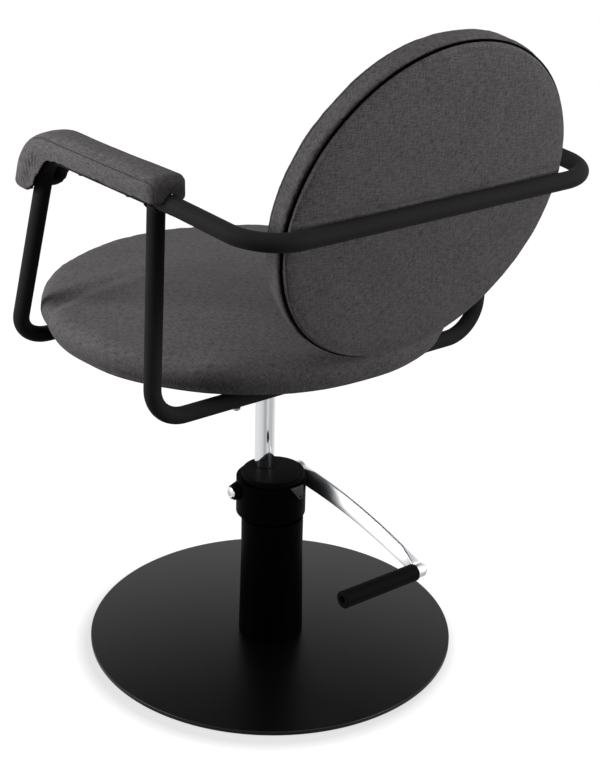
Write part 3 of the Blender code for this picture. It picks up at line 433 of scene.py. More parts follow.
# The pump's column, a little wider at its foot
def makeColumn():
    column = {"flareHeight": 0.150, "flareRound": 0.05, "bore": 0.0465, "footBore": 0.024, "foot": 0.012,
              "edge": 0.0008}
    low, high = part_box("pump_tube")
    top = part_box("head_cap")[1].x
    floor = low.z + column["foot"]
    shape = spinShape([
        (top, high.z, column["edge"]),
        (top, low.z + column["flareHeight"], column["flareRound"]),
        (high.x, low.z, column["edge"]),
        (column["footBore"], low.z, 0),
        (column["footBore"], floor, 0),
        (column["bore"], floor, 0),
        (column["bore"], high.z, 0),
    ], steps=128)
    addPiece("columnTube", shape, "base", dippedEnamel, ["pump_tube"])
    print("column made")


# The pump's head, with two pivot bosses
def makeHead():
    head = {"chamfer": 0.006, "wall": 0.0085, "floor": 0.016, "bossRoot": 0.0175, "bossTip": 0.0125,
            "pivot": 0.006, "edge": 0.0010}
    low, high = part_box("pump_head")
    radius = (high.y - low.y) / 2
    middleY = (high.y + low.y) / 2
    pocket = radius - head["wall"]
    pocketFloor = low.z + head["floor"]
    cup = spinShape([
        (radius, high.z, head["edge"]),
        (radius, low.z + head["chamfer"], head["edge"]),
        (radius - head["chamfer"], low.z, head["edge"]),
        (0, low.z, 0),
    ], steps=128, matrix=Matrix.Translation((0, middleY, 0)))
    bmesh.ops.holes_fill(cup, edges=cup.edges, sides=0)
    for side in (1, -1):
        root = (side * (high.x - head["bossRoot"]), ramY, pivotZ)
        tip = (side * high.x, ramY, pivotZ)
        cup = combine(cup, rodShape(root, tip, head["bossRoot"], head["bossTip"], 64), "UNION")
    above = high.z + 2 * overrun
    below = low.z - 2 * overrun
    plungerLow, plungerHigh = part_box("plunger_barrel")
    plungerY = (plungerLow.y + plungerHigh.y) / 2
    carved = [
        rodShape((0, middleY, pocketFloor), (0, middleY, above), pocket, sides=96),
        rodShape((0, ramY, below), (0, ramY, above), ramRadius + play),
        rodShape((0, plungerY, below), (0, plungerY, above), head["pivot"] + play),
        rodShape((low.x - overrun, ramY, pivotZ), (high.x + overrun, ramY, pivotZ), head["pivot"] + play),
    ]
    for cutter in carved:
        cup = combine(cup, cutter, "DIFFERENCE")
    addPiece("pumpHead", cup, "base", dippedEnamel, ["pump_head"], sharp=28)
    print("head made")


# The cap on the head, the wiper in it and the ram that comes through both
def makeCap():
    cap = {"edge": 0.0016, "foot": 0.0004, "lip": 0.0008, "mouth": 0.0010}
    low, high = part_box("head_cap")
    wiperLow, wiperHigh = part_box("ram_wiper")
    wiperRadius = (wiperHigh.x - wiperLow.x) / 2
    disc = spinShape([
        (0, high.z, 0),
        (high.x, high.z, cap["edge"]),
        (high.x, low.z, cap["foot"]),
        (0, low.z, 0),
    ], steps=128)
    above = (0, ramY, high.z + overrun)
    bore = rodShape((0, ramY, low.z - overrun), above, ramRadius + play, sides=64)
    seat = rodShape((0, ramY, wiperLow.z - play), above, wiperRadius + play, sides=64)
    disc = combine(combine(disc, bore, "DIFFERENCE"), seat, "DIFFERENCE")
    addPiece("headCap", disc, "base", blackAbs, ["head_cap"], sharp=30)
    lip = ramRadius + play
    shape = spinShape([
        (wiperRadius, wiperHigh.z, cap["lip"]),
        (wiperRadius, wiperLow.z, 0),
        (lip, wiperLow.z, 0),
        (lip, wiperHigh.z, cap["mouth"]),
    ], steps=64, matrix=Matrix.Translation((0, ramY, 0)))
    addPiece("ramWiper", shape, "base", nitrileRubber, ["ram_wiper"])

    ram = {"topEdge": 0.0010, "footEdge": 0.0005}
    shape = spinShape([
        (0, ramHigh.z, 0),
        (ramRadius, ramHigh.z, ram["topEdge"]),
        (ramRadius, ramLow.z, ram["footEdge"]),
        (0, ramLow.z, 0),
    ], steps=96, matrix=Matrix.Translation((0, ramY, 0)))
    addPiece("chromeRam", shape, "ram", chromePlate, ["ram"])
    print("cap and ram made")


# The socket bolt on the left boss
def makeBolt():
    bolt = {"radius": 0.010, "height": 0.006, "shank": 0.006, "socket": 0.0042, "depth": 0.0032,
            "flat": 0.72, "flatEdge": 0.0008, "rim": 0.62, "rimEdge": 0.0012, "footEdge": 0.0004,
            "shankEdge": 0.0006}
    low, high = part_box("pivot_bolt")
    face = high.x - bolt["height"]
    shape = spinShape([
        (0, bolt["height"], 0),
        (bolt["radius"] * bolt["flat"], bolt["height"], bolt["flatEdge"]),
        (bolt["radius"], bolt["height"] * bolt["rim"], bolt["rimEdge"]),
        (bolt["radius"], 0, bolt["footEdge"]),
        (bolt["shank"], 0, 0),
        (bolt["shank"], low.x - face, bolt["shankEdge"]),
        (0, low.x - face, 0),
    ], steps=64, matrix=alongX(face, ramY, pivotZ))
    socket = rodShape((high.x - bolt["depth"], ramY, pivotZ), (high.x + overrun, ramY, pivotZ),
                      bolt["socket"], sides=6)
    shape = combine(shape, socket, "DIFFERENCE")
    addPiece("pivotBolt", shape, "base", chromePlate, ["pivot_bolt"], sharp=30)
    print("bolt made")


# The small tapered lug under the cap
def makeLug():
    lug = {"tip": 0.0055, "hole": 0.002, "round": 0.0009, "tipShift": 0.007, "from": 200, "sweep": 140,
           "steps": 8}
    low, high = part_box("rear_lug")
    tipX = (low.x + high.x) / 2 - lug["tipShift"]
    tipZ = low.z + lug["tip"]
    bm = bmesh.new()
    points = [(high.x, high.z), (low.x, high.z)]
    for k in range(lug["steps"] + 1):
        angle = math.radians(lug["from"] + lug["sweep"] * k / lug["steps"])
        points.append((tipX + lug["tip"] * math.cos(angle), tipZ + lug["tip"] * math.sin(angle)))
    flat = bm.faces.new([bm.verts.new((x, low.y, z)) for x, z in points])
    grown = bmesh.ops.extrude_face_region(bm, geom=[flat])["geom"]
    bmesh.ops.translate(bm, vec=(0, high.y - low.y, 0),
                        verts=[g for g in grown if isinstance(g, bmesh.types.BMVert)])
    bmesh.ops.recalc_face_normals(bm, faces=bm.faces)
    softenEdges(bm, lug["round"])
    hole = rodShape((tipX, low.y - overrun, tipZ), (tipX, high.y + overrun, tipZ), lug["hole"], sides=32)
    addPiece("rearLug", combine(bm, hole, "DIFFERENCE"), "base", castIron,
             ["rear_lug"], sharp=30)
    print("lug made")


# The foot lever, a bowed and tapered bar with a leaning face, a hub and an eye; its pin and rubber grip
def makeLever():
    bar = {"rootHalf": 0.0135, "endHalf": 0.0085, "hub": 0.0175, "eye": 0.011, "bow": 0.011,
           "round": 0.0016, "crest": 0.0035, "ridge": -0.8, "bulge": 0.0012, "discRound": 0.0026,
           "begin": 0.02, "run": 0.955, "steps": 30, "leanIn": 3, "leanOut": 4, "parts": (0, 0.3, 0.6, 0.85),
           "under": 0.9}
    low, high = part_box("foot_lever")
    gripLow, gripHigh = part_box("pedal_grip")
    pedalY = (gripLow.y + gripHigh.y) / 2
    pedalZ = (gripLow.z + gripHigh.z) / 2
    reach = Vector((pedalY - ramY, pedalZ - pivotZ))
    along = reach.normalized()
    across = Vector((-along.y, along.x))
    thick = high.x - low.x

    def edgePoint(share, side):
        half = bar["rootHalf"] + (bar["endHalf"] - bar["rootHalf"]) * share
        return reach * share + across * (4 * bar["bow"] * share * (1 - share) + side * half)

    bm = bmesh.new()
    rings = []
    for k in range(bar["steps"] + 1):
        share = bar["begin"] + bar["run"] * k / bar["steps"]
        lean = min(1, k / bar["leanIn"], (bar["steps"] - k) / bar["leanOut"])
        crest = thick + (bar["crest"] - thick) * lean
        section = [(0, -1), (thick, -1)]
        for part in bar["parts"]:
            swelled = bar["bulge"] * 4 * part * (1 - part)
            rise = bar["ridge"] + (1 - bar["ridge"]) * part
            section.append((thick + (crest - thick) * part + swelled * lean, rise))
        section += [(crest, 1), (0, bar["under"])]
        ring = []
        for x, side in section:
            spot = edgePoint(share, side)
            ring.append(bm.verts.new((low.x + x, ramY + spot.x, pivotZ + spot.y)))
        rings.append(ring)
    for before, after in zip(rings, rings[1:]):
        for i in range(len(before)):
            bm.faces.new((before[i - 1], before[i], after[i], after[i - 1]))
    bm.faces.new(rings[0])
    bm.faces.new(rings[-1])
    bmesh.ops.recalc_face_normals(bm, faces=bm.faces)
    softenEdges(bm, bar["round"], angle=45, segments=4)
    for radius, y, z in ((bar["hub"], ramY, pivotZ), (bar["eye"], pedalY, pedalZ)):
        disc = spinShape([
            (0, thick, 0),
            (radius, thick, bar["discRound"]),
            (radius, 0, bar["discRound"]),
            (0, 0, 0),
        ], steps=72, matrix=alongX(low.x, y, z))
        bm = combine(bm, disc, "UNION")
    shaftLow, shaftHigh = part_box("lever_shaft")
    pinLow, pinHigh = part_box("pedal_pin")
    pin = {"radius": 0.005, "head": 0.008, "headHeight": 0.004, "flat": 0.62, "flatEdge": 0.0012,
           "rimEdge": 0.0016, "footEdge": 0.0004, "tipEdge": 0.0006}
    pinBore = pin["radius"] + play
    shaftBore = rodShape((shaftLow.x - play, ramY, pivotZ), (high.x + overrun, ramY, pivotZ),
                         (shaftHigh.z - shaftLow.z) / 2 + play)
    eyeBore = rodShape((low.x - overrun, pedalY, pedalZ), (high.x + overrun, pedalY, pedalZ), pinBore)
    bm = combine(combine(bm, shaftBore, "DIFFERENCE"), eyeBore, "DIFFERENCE")
    addPiece("footLever", bm, "lever", satinChrome, ["foot_lever"], sharp=32)

    base = pinLow.x + pin["headHeight"]
    shape = spinShape([
        (0, pinHigh.x - base, 0),
        (pin["radius"], pinHigh.x - base, pin["tipEdge"]),
        (pin["radius"], 0, 0),
        (pin["head"], 0, pin["footEdge"]),
        (pin["head"], -pin["headHeight"] / 2, pin["rimEdge"]),
        (pin["head"] * pin["flat"], -pin["headHeight"], pin["flatEdge"]),
        (0, -pin["headHeight"], 0),
    ], steps=64, matrix=alongX(base, pedalY, pedalZ))
    addPiece("pedalPin", shape, "lever", chromePlate, ["pedal_pin"])

    grip = {"mouth": 0.0066, "flare": 0.004, "edge": 0.0020, "boreEdge": 0.0003, "mouthEdge": 0.0004}
    length = gripHigh.x - gripLow.x
    radius = (gripHigh.z - gripLow.z) / 2
    shape = spinShape([
        (radius, length, grip["edge"]),
        (radius, 0, grip["edge"]),
        (pinBore, 0, grip["boreEdge"]),
        (pinBore, length - grip["flare"], 0),
        (grip["mouth"], length, grip["mouthEdge"]),
    ], steps=72, matrix=alongX(gripLow.x, pedalY, pedalZ))
    addPiece("pedalGrip", shape, "lever", nitrileRubber, ["pedal_grip"])
    print("lever made")


# The swivel socket and plate under the seat
def makeSwivel():
    hub = {"radius": 0.028, "flange": 0.008, "edge": 0.0014, "fillet": 0.006, "mouthEdge": 0.0006,
           "plateEdge": 0.0012}
    low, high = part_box("swivel_hub")
    bushLow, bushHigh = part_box("swivel_bush")
    bore = (bushHigh.x - bushLow.x) / 2 + play
    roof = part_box("thrust_washer")[1].z + play
    shape = spinShape([
        (0, high.z, 0),
        (high.x, high.z, hub["edge"]),
        (high.x, high.z - hub["flange"], hub["edge"]),
        (hub["radius"], high.z - 2 * hub["flange"], hub["fillet"]),
        (hub["radius"], low.z, hub["edge"]),
        (bore, low.z, hub["mouthEdge"]),
        (bore, roof, 0),
        (0, roof, 0),
    ], steps=96, matrix=Matrix.Translation((0, ramY, 0)))
    addPiece("swivelHub", shape, "seat", powderCoat, ["swivel_hub"])
    low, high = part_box("seat_plate")
    bm = bmesh.new()
    bmesh.ops.create_cube(bm, size=1)
    bmesh.ops.scale(bm, vec=high - low, verts=bm.verts)
    bmesh.ops.translate(bm, vec=(low + high) / 2, verts=bm.verts)
    softenEdges(bm, hub["plateEdge"])
    addPiece("seatPlate", bm, "seat", powderCoat, ["seat_plate"])
    print("swivel made")


# Bent tube frame, repeated from the CAD's corners
tube = {"radius": 0.0127, "lowerBend": 0.055, "armBend": 0.060, "backBend": 0.0687, "leadBend": 0.20,
        "lead": 0.030, "armFront": 0.128, "rearTop": 0.141, "pastUpright": 0.024, "halfWidth": 0.310,
        "splay": 0.0293, "cornerHalf": 0.2959, "raise": 0.002}
loopLow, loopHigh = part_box("left_loop")
barLow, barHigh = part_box("back_bar")
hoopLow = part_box("rear_hoop")[0]
armZ = loopHigh.z - tube["radius"]
crossZ = hoopLow.z + tube["radius"]
barY = barHigh.y - tube["radius"]
barZ = barLow.z + tube["radius"]
frontY = loopLow.y + tube["radius"]
rearY = hoopLow.y + tube["radius"]
jointY = tube["rearTop"] + tube["pastUpright"]
railZ = armZ + tube["raise"]  # drawn up to the pad it carries


def railX(y):
    return tube["halfWidth"] - tube["splay"] * y


def makeFrame():
    for side, word in arms:
        frontX = side * railX(-tube["armFront"])
        corners = [
            (side * play / 2, frontY, crossZ),
            (frontX, frontY, crossZ),
            (frontX, -tube["armFront"], railZ),
            (side * railX(jointY), jointY, railZ),
        ]
        shape = tubeShape(corners, (tube["lowerBend"], tube["armBend"]), tube["radius"])
        addPiece(word + "Loop", shape, "seat", powderCoat, [word + "_loop"])
    start = jointY + play
    lead = start + tube["lead"]
    corners = [
        (railX(start), start, railZ),
        (railX(lead), lead, railZ),
        (tube["cornerHalf"], barY, barZ),
        (-tube["cornerHalf"], barY, barZ),
        (-railX(lead), lead, railZ),
        (-railX(start), start, railZ),
    ]
    bends = (tube["leadBend"], tube["backBend"], tube["backBend"], tube["leadBend"])
    shape = tubeShape(corners, bends, tube["radius"])
    addPiece("backBar", shape, "seat", powderCoat, ["back_bar"])
    upright = railX(tube["rearTop"])
    corners = [
        (upright, tube["rearTop"], railZ),
        (upright, rearY, crossZ),
        (-upright, rearY, crossZ),
        (-upright, tube["rearTop"], railZ),
    ]
    shape = tubeShape(corners, (tube["lowerBend"],) * 2, tube["radius"])
    for side in (1, -1):
        ends = [(side * railX(y), y, railZ) for y in (0.0, jointY)]
        shape = combine(shape, rodShape(*ends, tube["radius"] + play), "DIFFERENCE")
    addPiece("rearHoop", shape, "seat", powderCoat, ["rear_hoop"])

    weld = {"bead": 0.0030, "steps": 64, "uneven": 0.18, "ripples": 9, "out": 0.3, "down": 0.2}
    for side, word in arms:
        bm = bmesh.new()
        reach = tube["radius"] + weld["bead"] * weld["out"]
        for k in range(weld["steps"]):
            angle = 2 * math.pi * k / weld["steps"]
            x = reach * math.cos(angle)
            drop = math.sqrt(max(0.0, (tube["radius"] + weld["bead"] * weld["down"]) ** 2 - x * x))
            spot = Vector((side * upright + x, tube["rearTop"] + reach * math.sin(angle), railZ - drop))
            size = weld["bead"] * (1 + weld["uneven"] * math.sin(weld["ripples"] * angle))
            bmesh.ops.create_icosphere(bm, subdivisions=2, radius=size, matrix=Matrix.Translation(spot))
        addPiece(word + "Weld", bm, "seat", powderCoat)
    collar = {"half": 0.0030, "footHalf": 0.0045, "proud": 0.0009, "round": 0.0008, "off": 0.0001}
    crest = tube["radius"] + collar["proud"]
    foot = tube["radius"] + collar["off"]
    shape = spinShape([
        (crest, collar["half"], collar["round"]),
        (crest, -collar["half"], collar["round"]),
        (foot, -collar["footHalf"], 0),
        (foot, collar["footHalf"], 0),
    ], steps=64, matrix=alongX(0, frontY, crossZ))
    addPiece("frontWeld", shape, "seat", powderCoat)
    print("frame made")


# Swells a cushion with Blender's cloth, then keeps every point within a cap of where it started
def swell(piece, settings, pins, frames=20):
    mesh = piece.data
    count = len(mesh.vertices)
    start = np.zeros(count * 3)
    mesh.vertices.foreach_get("co", start)
    step = piece.modifiers.new("swell", "CLOTH")
    cloth = step.settings
    cloth.quality = 6
    cloth.mass = 0.35
    cloth.tension_stiffness = settings["stiff"]
    cloth.compression_stiffness = settings["stiff"]
    cloth.shear_stiffness = settings["stiff"] / 3
    cloth.bending_stiffness = 0.6
    cloth.use_pressure = True
    cloth.uniform_pressure_force = settings["pressure"]
    cloth.effector_weights.gravity = 0
    step.collision_settings.use_collision = False
    group = piece.vertex_groups.new(name="sewn")
    for index, weight in pins.items():
        group.add([index], weight, "REPLACE")
    cloth.vertex_group_mass = group.name
    for number in range(1, frames + 1):
        scene.frame_set(number)
    graph = bpy.context.evaluated_depsgraph_get()
    moved = np.zeros(count * 3)
    piece.evaluated_get(graph).data.vertices.foreach_get("co", moved)
    piece.modifiers.remove(step)
    scene.frame_set(1)
    shift = (moved - start).reshape(-1, 3)
    length = np.linalg.norm(shift, axis=1, keepdims=True)
    cap = settings["cap"]
    eased = cap * np.tanh(length / cap) / np.maximum(length, 1e-9)
    mesh.vertices.foreach_set("co", (start.reshape(-1, 3) + shift * eased).ravel())
    mesh.update()
    piece.vertex_groups.clear()
    print(piece.name, "swelled by up to", round(1000 * float((length * eased).max()), 1), "mm")


# An even mesh of small squares over a shape, for the cloth
def remeshed(name, bm, voxel):
    mesh = bpy.data.meshes.new(name)
    bm.to_mesh(mesh)
    bm.free()
    work = bpy.data.objects.new(name, mesh)
    scene.collection.objects.link(work)
    step = work.modifiers.new("even", "REMESH")
    step.mode = "VOXEL"
    step.voxel_size = voxel
    graph = bpy.context.evaluated_depsgraph_get()
    result = bmesh.new()
    result.from_mesh(work.evaluated_get(graph).to_mesh())
    bpy.data.objects.remove(work, do_unlink=True)
    bmesh.ops.smooth_vert(result, verts=result.verts, factor=0.5, use_axis_x=True,
                          use_axis_y=True, use_axis_z=True)
    return result


# One level of subdivision, kept in the mesh
def refine(piece):
    step = piece.modifiers.new("fine", "SUBSURF")
    step.levels = 1
    step.render_levels = 1
    graph = bpy.context.evaluated_depsgraph_get()
    fine = bpy.data.meshes.new_from_object(piece.evaluated_get(graph))
    piece.modifiers.remove(step)
    old = piece.data
    piece.data = fine
    bpy.data.meshes.remove(old)
    fine.shade_smooth()


def pointsOf(piece):
    points = np.zeros(len(piece.data.vertices) * 3)
    piece.data.vertices.foreach_get("co", points)
    return points.reshape(-1, 3)


def setPoints(piece, points):
    piece.data.vertices.foreach_set("co", points.ravel())
    piece.data.update()


def normalsOf(piece):
    normals = np.zeros(len(piece.data.vertices) * 3, np.float32)
    piece.data.vertex_normals.foreach_get("vector", normals)
    return normals.reshape(-1, 3)


# Where the cloth's threads lie, in metres along the warp and weft, and how much painted shade from seam
# grooves and gathers darkens it
def setWeave(piece, along, across, seam=None):
    count = len(piece.data.vertices)
    lay = np.stack([along, across, np.zeros(count)], 1).astype(np.float32)
    piece.data.attributes.new("weave", "FLOAT_VECTOR", "POINT").data.foreach_set("vector", lay.ravel())
    dark = np.zeros(count, np.float32) if seam is None else seam.astype(np.float32)
    piece.data.attributes.new("seam", "FLOAT", "POINT").data.foreach_set("value", dark)


# Gentle unevenness of the padding under the cloth, by the size, depth and seed of its lumps
def padUnevenly(piece, lumps):
    size, depth, seed = lumps
    points = pointsOf(piece)
    shift = [noise.noise(Vector(p) / size + Vector((seed, 0, 0))) for p in points]
    return points + normalsOf(piece) * (np.array(shift) * depth)[:, None]


# Weave on a round cushion: flat on its face, carried over the edge without stretching
def discWeave(local, rim):
    flat = np.hypot(local[:, 0], local[:, 1])
    over = np.maximum(0, rim - local[:, 2])
    scale = (flat + over) / np.maximum(flat, 1e-6)
    return local[:, 0] * scale, local[:, 1] * scale


# How deep a fold is at each point: a valley along a line on the plan, with a slight rise at its sides
def foldShape(plan, start, end, width):
    line = np.array(end) - np.array(start)
    length = np.linalg.norm(line)
    line = line / length
    away = plan - np.array(start)
    share = np.clip((away @ line) / length, 0, 1)
    off = away @ np.array([-line[1], line[0]])
    bend = {"depth": 0.010, "turns": 5.0}
    rise = {"height": 0.35, "off": 2.1, "width": 0.9}
    fade = 0.7
    off = (off - bend["depth"] * np.sin(share * bend["turns"]) * share) / width
    past = np.maximum(0, (away @ line) / length - 1) * length / width
    depth = np.exp(-off * off) - rise["height"] * np.exp(-((np.abs(off) - rise["off"]) / rise["width"]) ** 2)
    return depth * (1 - share) ** fade * np.exp(-past * past)


crownPower = 1.2  # how full the seat and the back cushion are between middle and edge


# Seat: a full round cushion, drawn in at its lower edge, with a soft fold at each side of its front
def makeSeat():
    seat = {"voxel": 0.006, "crownInset": 0.0048, "drawnIn": 0.0040, "side": 0.0562, "shoulder": 0.017,
            "lowerEdge": 0.034, "rings": 12, "held": 0.008, "pressure": 4.0, "stiff": 12.0, "cap": 0.0045,
            "lumps": (0.09, 0.0016, 3.1), "foldDepth": 0.0062, "foldWidth": 0.015, "foldFrom": 0.010,
            "foldFade": 0.03}
    folds = [((0.335, -0.166), (0.085, -0.212)), ((-0.335, -0.158), (-0.110, -0.203))]
    low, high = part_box("seat_cushion")
    middle = (low + high) / 2
    radius = (high.x - low.x) / 2 + seat["drawnIn"]  # the swelling draws the sides in again
    top = high.z - seat["crownInset"]
    rimZ = low.z + seat["side"] - seat["crownInset"]
    rimR = radius - seat["shoulder"]
    profile = []
    for k in range(seat["rings"]):
        share = k / seat["rings"]
        rise = (top - rimZ) * math.cos(share * math.pi / 2) ** crownPower
        profile.append((rimR * share, rimZ + rise, 0))
    profile += [
        (radius, rimZ, seat["shoulder"]),
        (radius, low.z, seat["lowerEdge"]),
        (0, low.z, 0),
    ]
    shape = spinShape(profile, steps=120, matrix=Matrix.Translation((middle.x, middle.y, 0)))
    piece = addPiece("seatCushion", remeshed("seatWork", shape, seat["voxel"]), "seat",
                     upholsteryCloth, ["seat_cushion"], sharp=180)
    held = {v.index: 1.0 for v in piece.data.vertices if v.co.z < low.z + seat["held"]}
    swell(piece, seat, held)
    refine(piece)
    points = padUnevenly(piece, seat["lumps"])
    setPoints(piece, points)
    normals = normalsOf(piece)
    upper = np.clip((points[:, 2] - low.z - seat["foldFrom"]) / seat["foldFade"], 0, 1)
    for start, end in folds:
        depth = foldShape(points[:, :2], start, end, seat["foldWidth"]) * upper * seat["foldDepth"]
        points = points - normals * depth[:, None]
    setPoints(piece, points)
    along, across = discWeave(points - np.array([middle.x, middle.y, 0]), rimZ)
    setWeave(piece, along, across)
    print("seat made")


backTilt = math.radians(14.6)
backNormal = Vector((0, math.cos(backTilt), -math.sin(backTilt)))
boardLow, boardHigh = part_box("back_board")
backMiddle = (boardLow + boardHigh) / 2
backDome = 0.007  # how far the rear panel swells out to the bar, and the rim stands in front of it
backTurn = Matrix.Rotation(-(math.pi / 2 + backTilt), 4, "X")
backFrame = Matrix.Translation(backMiddle - backNormal * backDome) @ backTurn
backInverse = np.array(backFrame.inverted())
boardHalf = 0.0010  # half of the dark gap that the board shows in


# In the back's own frame x is across, y is down and z points to the rear
def inBack(points):
    return points @ backInverse[:3, :3].T + backInverse[:3, 3]


# The black board between the two halves of the back, which shows as a dark line at their edge
def makeBackBoard():
    board = {"under": 0.0022, "edge": 0.0005, "play": 0.0002}
    low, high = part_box("back_cushion")
    edge = (high.x - low.x) / 2 - board["under"]
    half = boardHalf - board["play"]
    shape = spinShape([
        (0, half, 0),
        (edge, half, board["edge"]),
        (edge, -half, board["edge"]),
        (0, -half, 0),
    ], steps=160, matrix=backFrame)
    addPiece("backBoard", shape, "seat", dippedEnamel, ["back_board"])
    print("back board made")


# Back: a crowned front cushion with a sewn rim
def makeBackCushion():
    cushion = {"voxel": 0.005, "inset": 0.0005, "crownInset": 0.0035, "drawnIn": 0.0028, "side": 0.0415,
               "crown": 0.058, "shoulder": 0.014, "seam": 0.0018, "held": 0.006, "pressure": 3.5,
               "stiff": 12.0, "cap": 0.0035, "rings": 11, "lumps": (0.08, 0.0012, 7.7)}
    sewing = {"off": 0.008, "width": 0.0028, "behind": 0.012, "groove": 0.0012, "dark": 0.7}
    low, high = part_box("back_cushion")
    edge = (high.x - low.x) / 2 - cushion["inset"]
    face = -boardHalf - cushion["side"]
    front = edge + cushion["drawnIn"]
    rim = front - cushion["shoulder"]
    crown = cushion["crown"] - cushion["side"] - cushion["crownInset"]
    profile = [(0, -boardHalf, 0), (edge, -boardHalf, cushion["seam"]), (front, face, cushion["shoulder"])]
    for k in reversed(range(cushion["rings"])):
        share = k / cushion["rings"]
        profile.append((rim * share, face - crown * math.cos(share * math.pi / 2) ** crownPower, 0))
    shape = spinShape(profile, steps=120, matrix=backFrame)
    piece = addPiece("backCushion", remeshed("backWork", shape, cushion["voxel"]), "seat",
                     upholsteryCloth, ["back_cushion"], sharp=180)
    held = {i: 1.0 for i, p in enumerate(inBack(pointsOf(piece))) if p[2] > -boardHalf - cushion["held"]}
    swell(piece, cushion, held)
    refine(piece)
    points = padUnevenly(piece, cushion["lumps"])
    setPoints(piece, points)
    normals = normalsOf(piece)
    local = inBack(points)
    flat = np.hypot(local[:, 0], local[:, 1])
    fromSeam = np.abs(flat - (rim + sewing["off"])) / sewing["width"]
    seam = np.exp(-fromSeam ** 2) * (local[:, 2] < face + sewing["behind"])
    setPoints(piece, points - normals * (seam * sewing["groove"])[:, None])
    local[:, 2] *= -1
    along, across = discWeave(local, boardHalf + cushion["side"])
    # Painted shade: the seam groove is also darkened in the cloth's colour, for the shadow that lies in it
    setWeave(piece, along, across, sewing["dark"] * seam)
    print("back cushion made")


# The thin rear panel: cloth over foam, swelled between its edge and the bar, with small puckers at the bar
def makeBackPanel():
    panel = {"rear": 0.0093, "rings": 44, "domePower": 2.5, "rim": 0.006, "edge": 0.0032, "seam": 0.0015,
             "held": 0.003, "atBar": 0.004, "pressure": 1.6, "stiff": 14.0, "cap": 0.0016,
             "lumps": (0.07, 0.0004, 1.3)}
    crease = {"depth": 0.0012, "rise": 0.019, "width": 0.0035, "pitch": 31, "begin": 1.1,
              "level": 0.55, "swing": 0.45}
    pucker = {"depth": 0.0022, "height": 0.006}
    puckers = [(0.098, 0.016, 0.020), (-0.023, 0.012, 0.016), (-0.066, 0.014, 0.020), (0.020, 0.010, 0.013)]
    low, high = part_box("back_panel")
    edge = (high.x - low.x) / 2
    profile = []
    for k in range(panel["rings"] + 1):
        share = k / panel["rings"]
        dome = backDome * (1 - share ** panel["domePower"])
        profile.append(((edge - panel["rim"]) * share, panel["rear"] + dome, 0))
    profile += [(edge, panel["rear"], panel["edge"]), (edge, boardHalf, panel["seam"]), (0, boardHalf, 0)]
    shape = spinShape(profile, steps=200, matrix=backFrame)
    piece = addPiece("backPanel", shape, "seat", upholsteryCloth, ["back_panel"], sharp=180)
    local = inBack(pointsOf(piece))
    barDown = -(barZ - backMiddle.z) / math.cos(backTilt)  # where the bar crosses the panel
    held = {}
    for i, p in enumerate(local):
        if p[2] < boardHalf + panel["held"] or abs(p[1] - barDown) < panel["atBar"]:
            held[i] = 1.0
    swell(piece, panel, held)
    refine(piece)
    points = padUnevenly(piece, panel["lumps"])
    local = inBack(points)
    face = np.clip((local[:, 2] - boardHalf - panel["held"]) / panel["held"], 0, 1)
    above = barDown - local[:, 1]  # how far above the bar's line
    press = np.exp(-((above - crease["rise"]) / crease["width"]) ** 2) * crease["depth"]
    press *= crease["level"] + crease["swing"] * np.sin(local[:, 0] * crease["pitch"] + crease["begin"])
    for x, rise, size in puckers:
        spread = ((local[:, 0] - x) / size) ** 2 + ((above - rise) / pucker["height"]) ** 2
        press += pucker["depth"] * np.exp(-spread)
    points = points - np.array(backNormal) * (press * face)[:, None]
    setPoints(piece, points)
    along, across = discWeave(local, panel["rear"] - panel["held"])
    setWeave(piece, along, across)
    print("back panel made")


# Arm pads: an upholstered strip that follows the rail and curls over its front bend
pad = {"voxel": 0.0026, "half": 0.0292, "low": 0.0046, "seat": 0.0173, "top": 0.0402, "crown": 0.0060,
       "channel": 0.0266, "rear": 0.175, "curl": 0.022, "rearRound": 0.015, "curlRound": 0.009,
       "roundMost": 0.62, "roundTop": 0.85, "end": 0.014, "arch": 0.0010, "archSteps": 12, "lap": 0.001,
       "wallTop": 0.003, "wallIn": 0.0015, "crownShape": ((0.80, 0.45), (0.45, 0.12)), "step": 0.02,
       "lean": 0.013, "leanFrom": 0.034, "pressure": 3.0, "stiff": 12.0, "cap": 0.0016,
       "seamIn": 0.0012, "groove": 0.0010}
padLean = Vector((0, frontY + tube["armFront"], crossZ - armZ)).normalized()
padTurn = Vector((0, -1, 0)).angle(padLean)
padBendY = -tube["armFront"] + tube["armBend"] * math.tan(padTurn / 2)
padRun = pad["rear"] - padBendY
padLength = padRun + padTurn * tube["armBend"] + pad["curl"]


# Where points lie on a pad: along the rail from its rear end, across to the outside, and out from the tube
def onPad(points, side):
    y = points[:, 1] - padBendY
    z = points[:, 2] - (armZ - tube["armBend"])
    angle = np.arctan2(-y, z)
    along = pad["rear"] - points[:, 1]
    out = points[:, 2] - armZ
    railAt = tube["halfWidth"] - tube["splay"] * np.maximum(points[:, 1], -tube["armFront"])
    across = side * points[:, 0] - railAt
    bent = (y < 0) & (angle <= padTurn)
    along = np.where(bent, padRun + angle * tube["armBend"], along)
    out = np.where(bent, np.hypot(y, z) - tube["armBend"], out)
    past = (y < 0) & (angle > padTurn)
    outY, outZ = -math.sin(padTurn), math.cos(padTurn)
    drop = (y - outY * tube["armBend"]) * padLean.y + (z - outZ * tube["armBend"]) * padLean.z
    along = np.where(past, padRun + padTurn * tube["armBend"] + drop, along)
    out = np.where(past, y * outY + z * outZ - tube["armBend"], out)
    turned = np.clip(np.where(y < 0, angle, 0), 0, padTurn)
    outward = np.stack([np.zeros(len(y)), -np.sin(turned), np.cos(turned)], 1)
    return along, across, out, outward


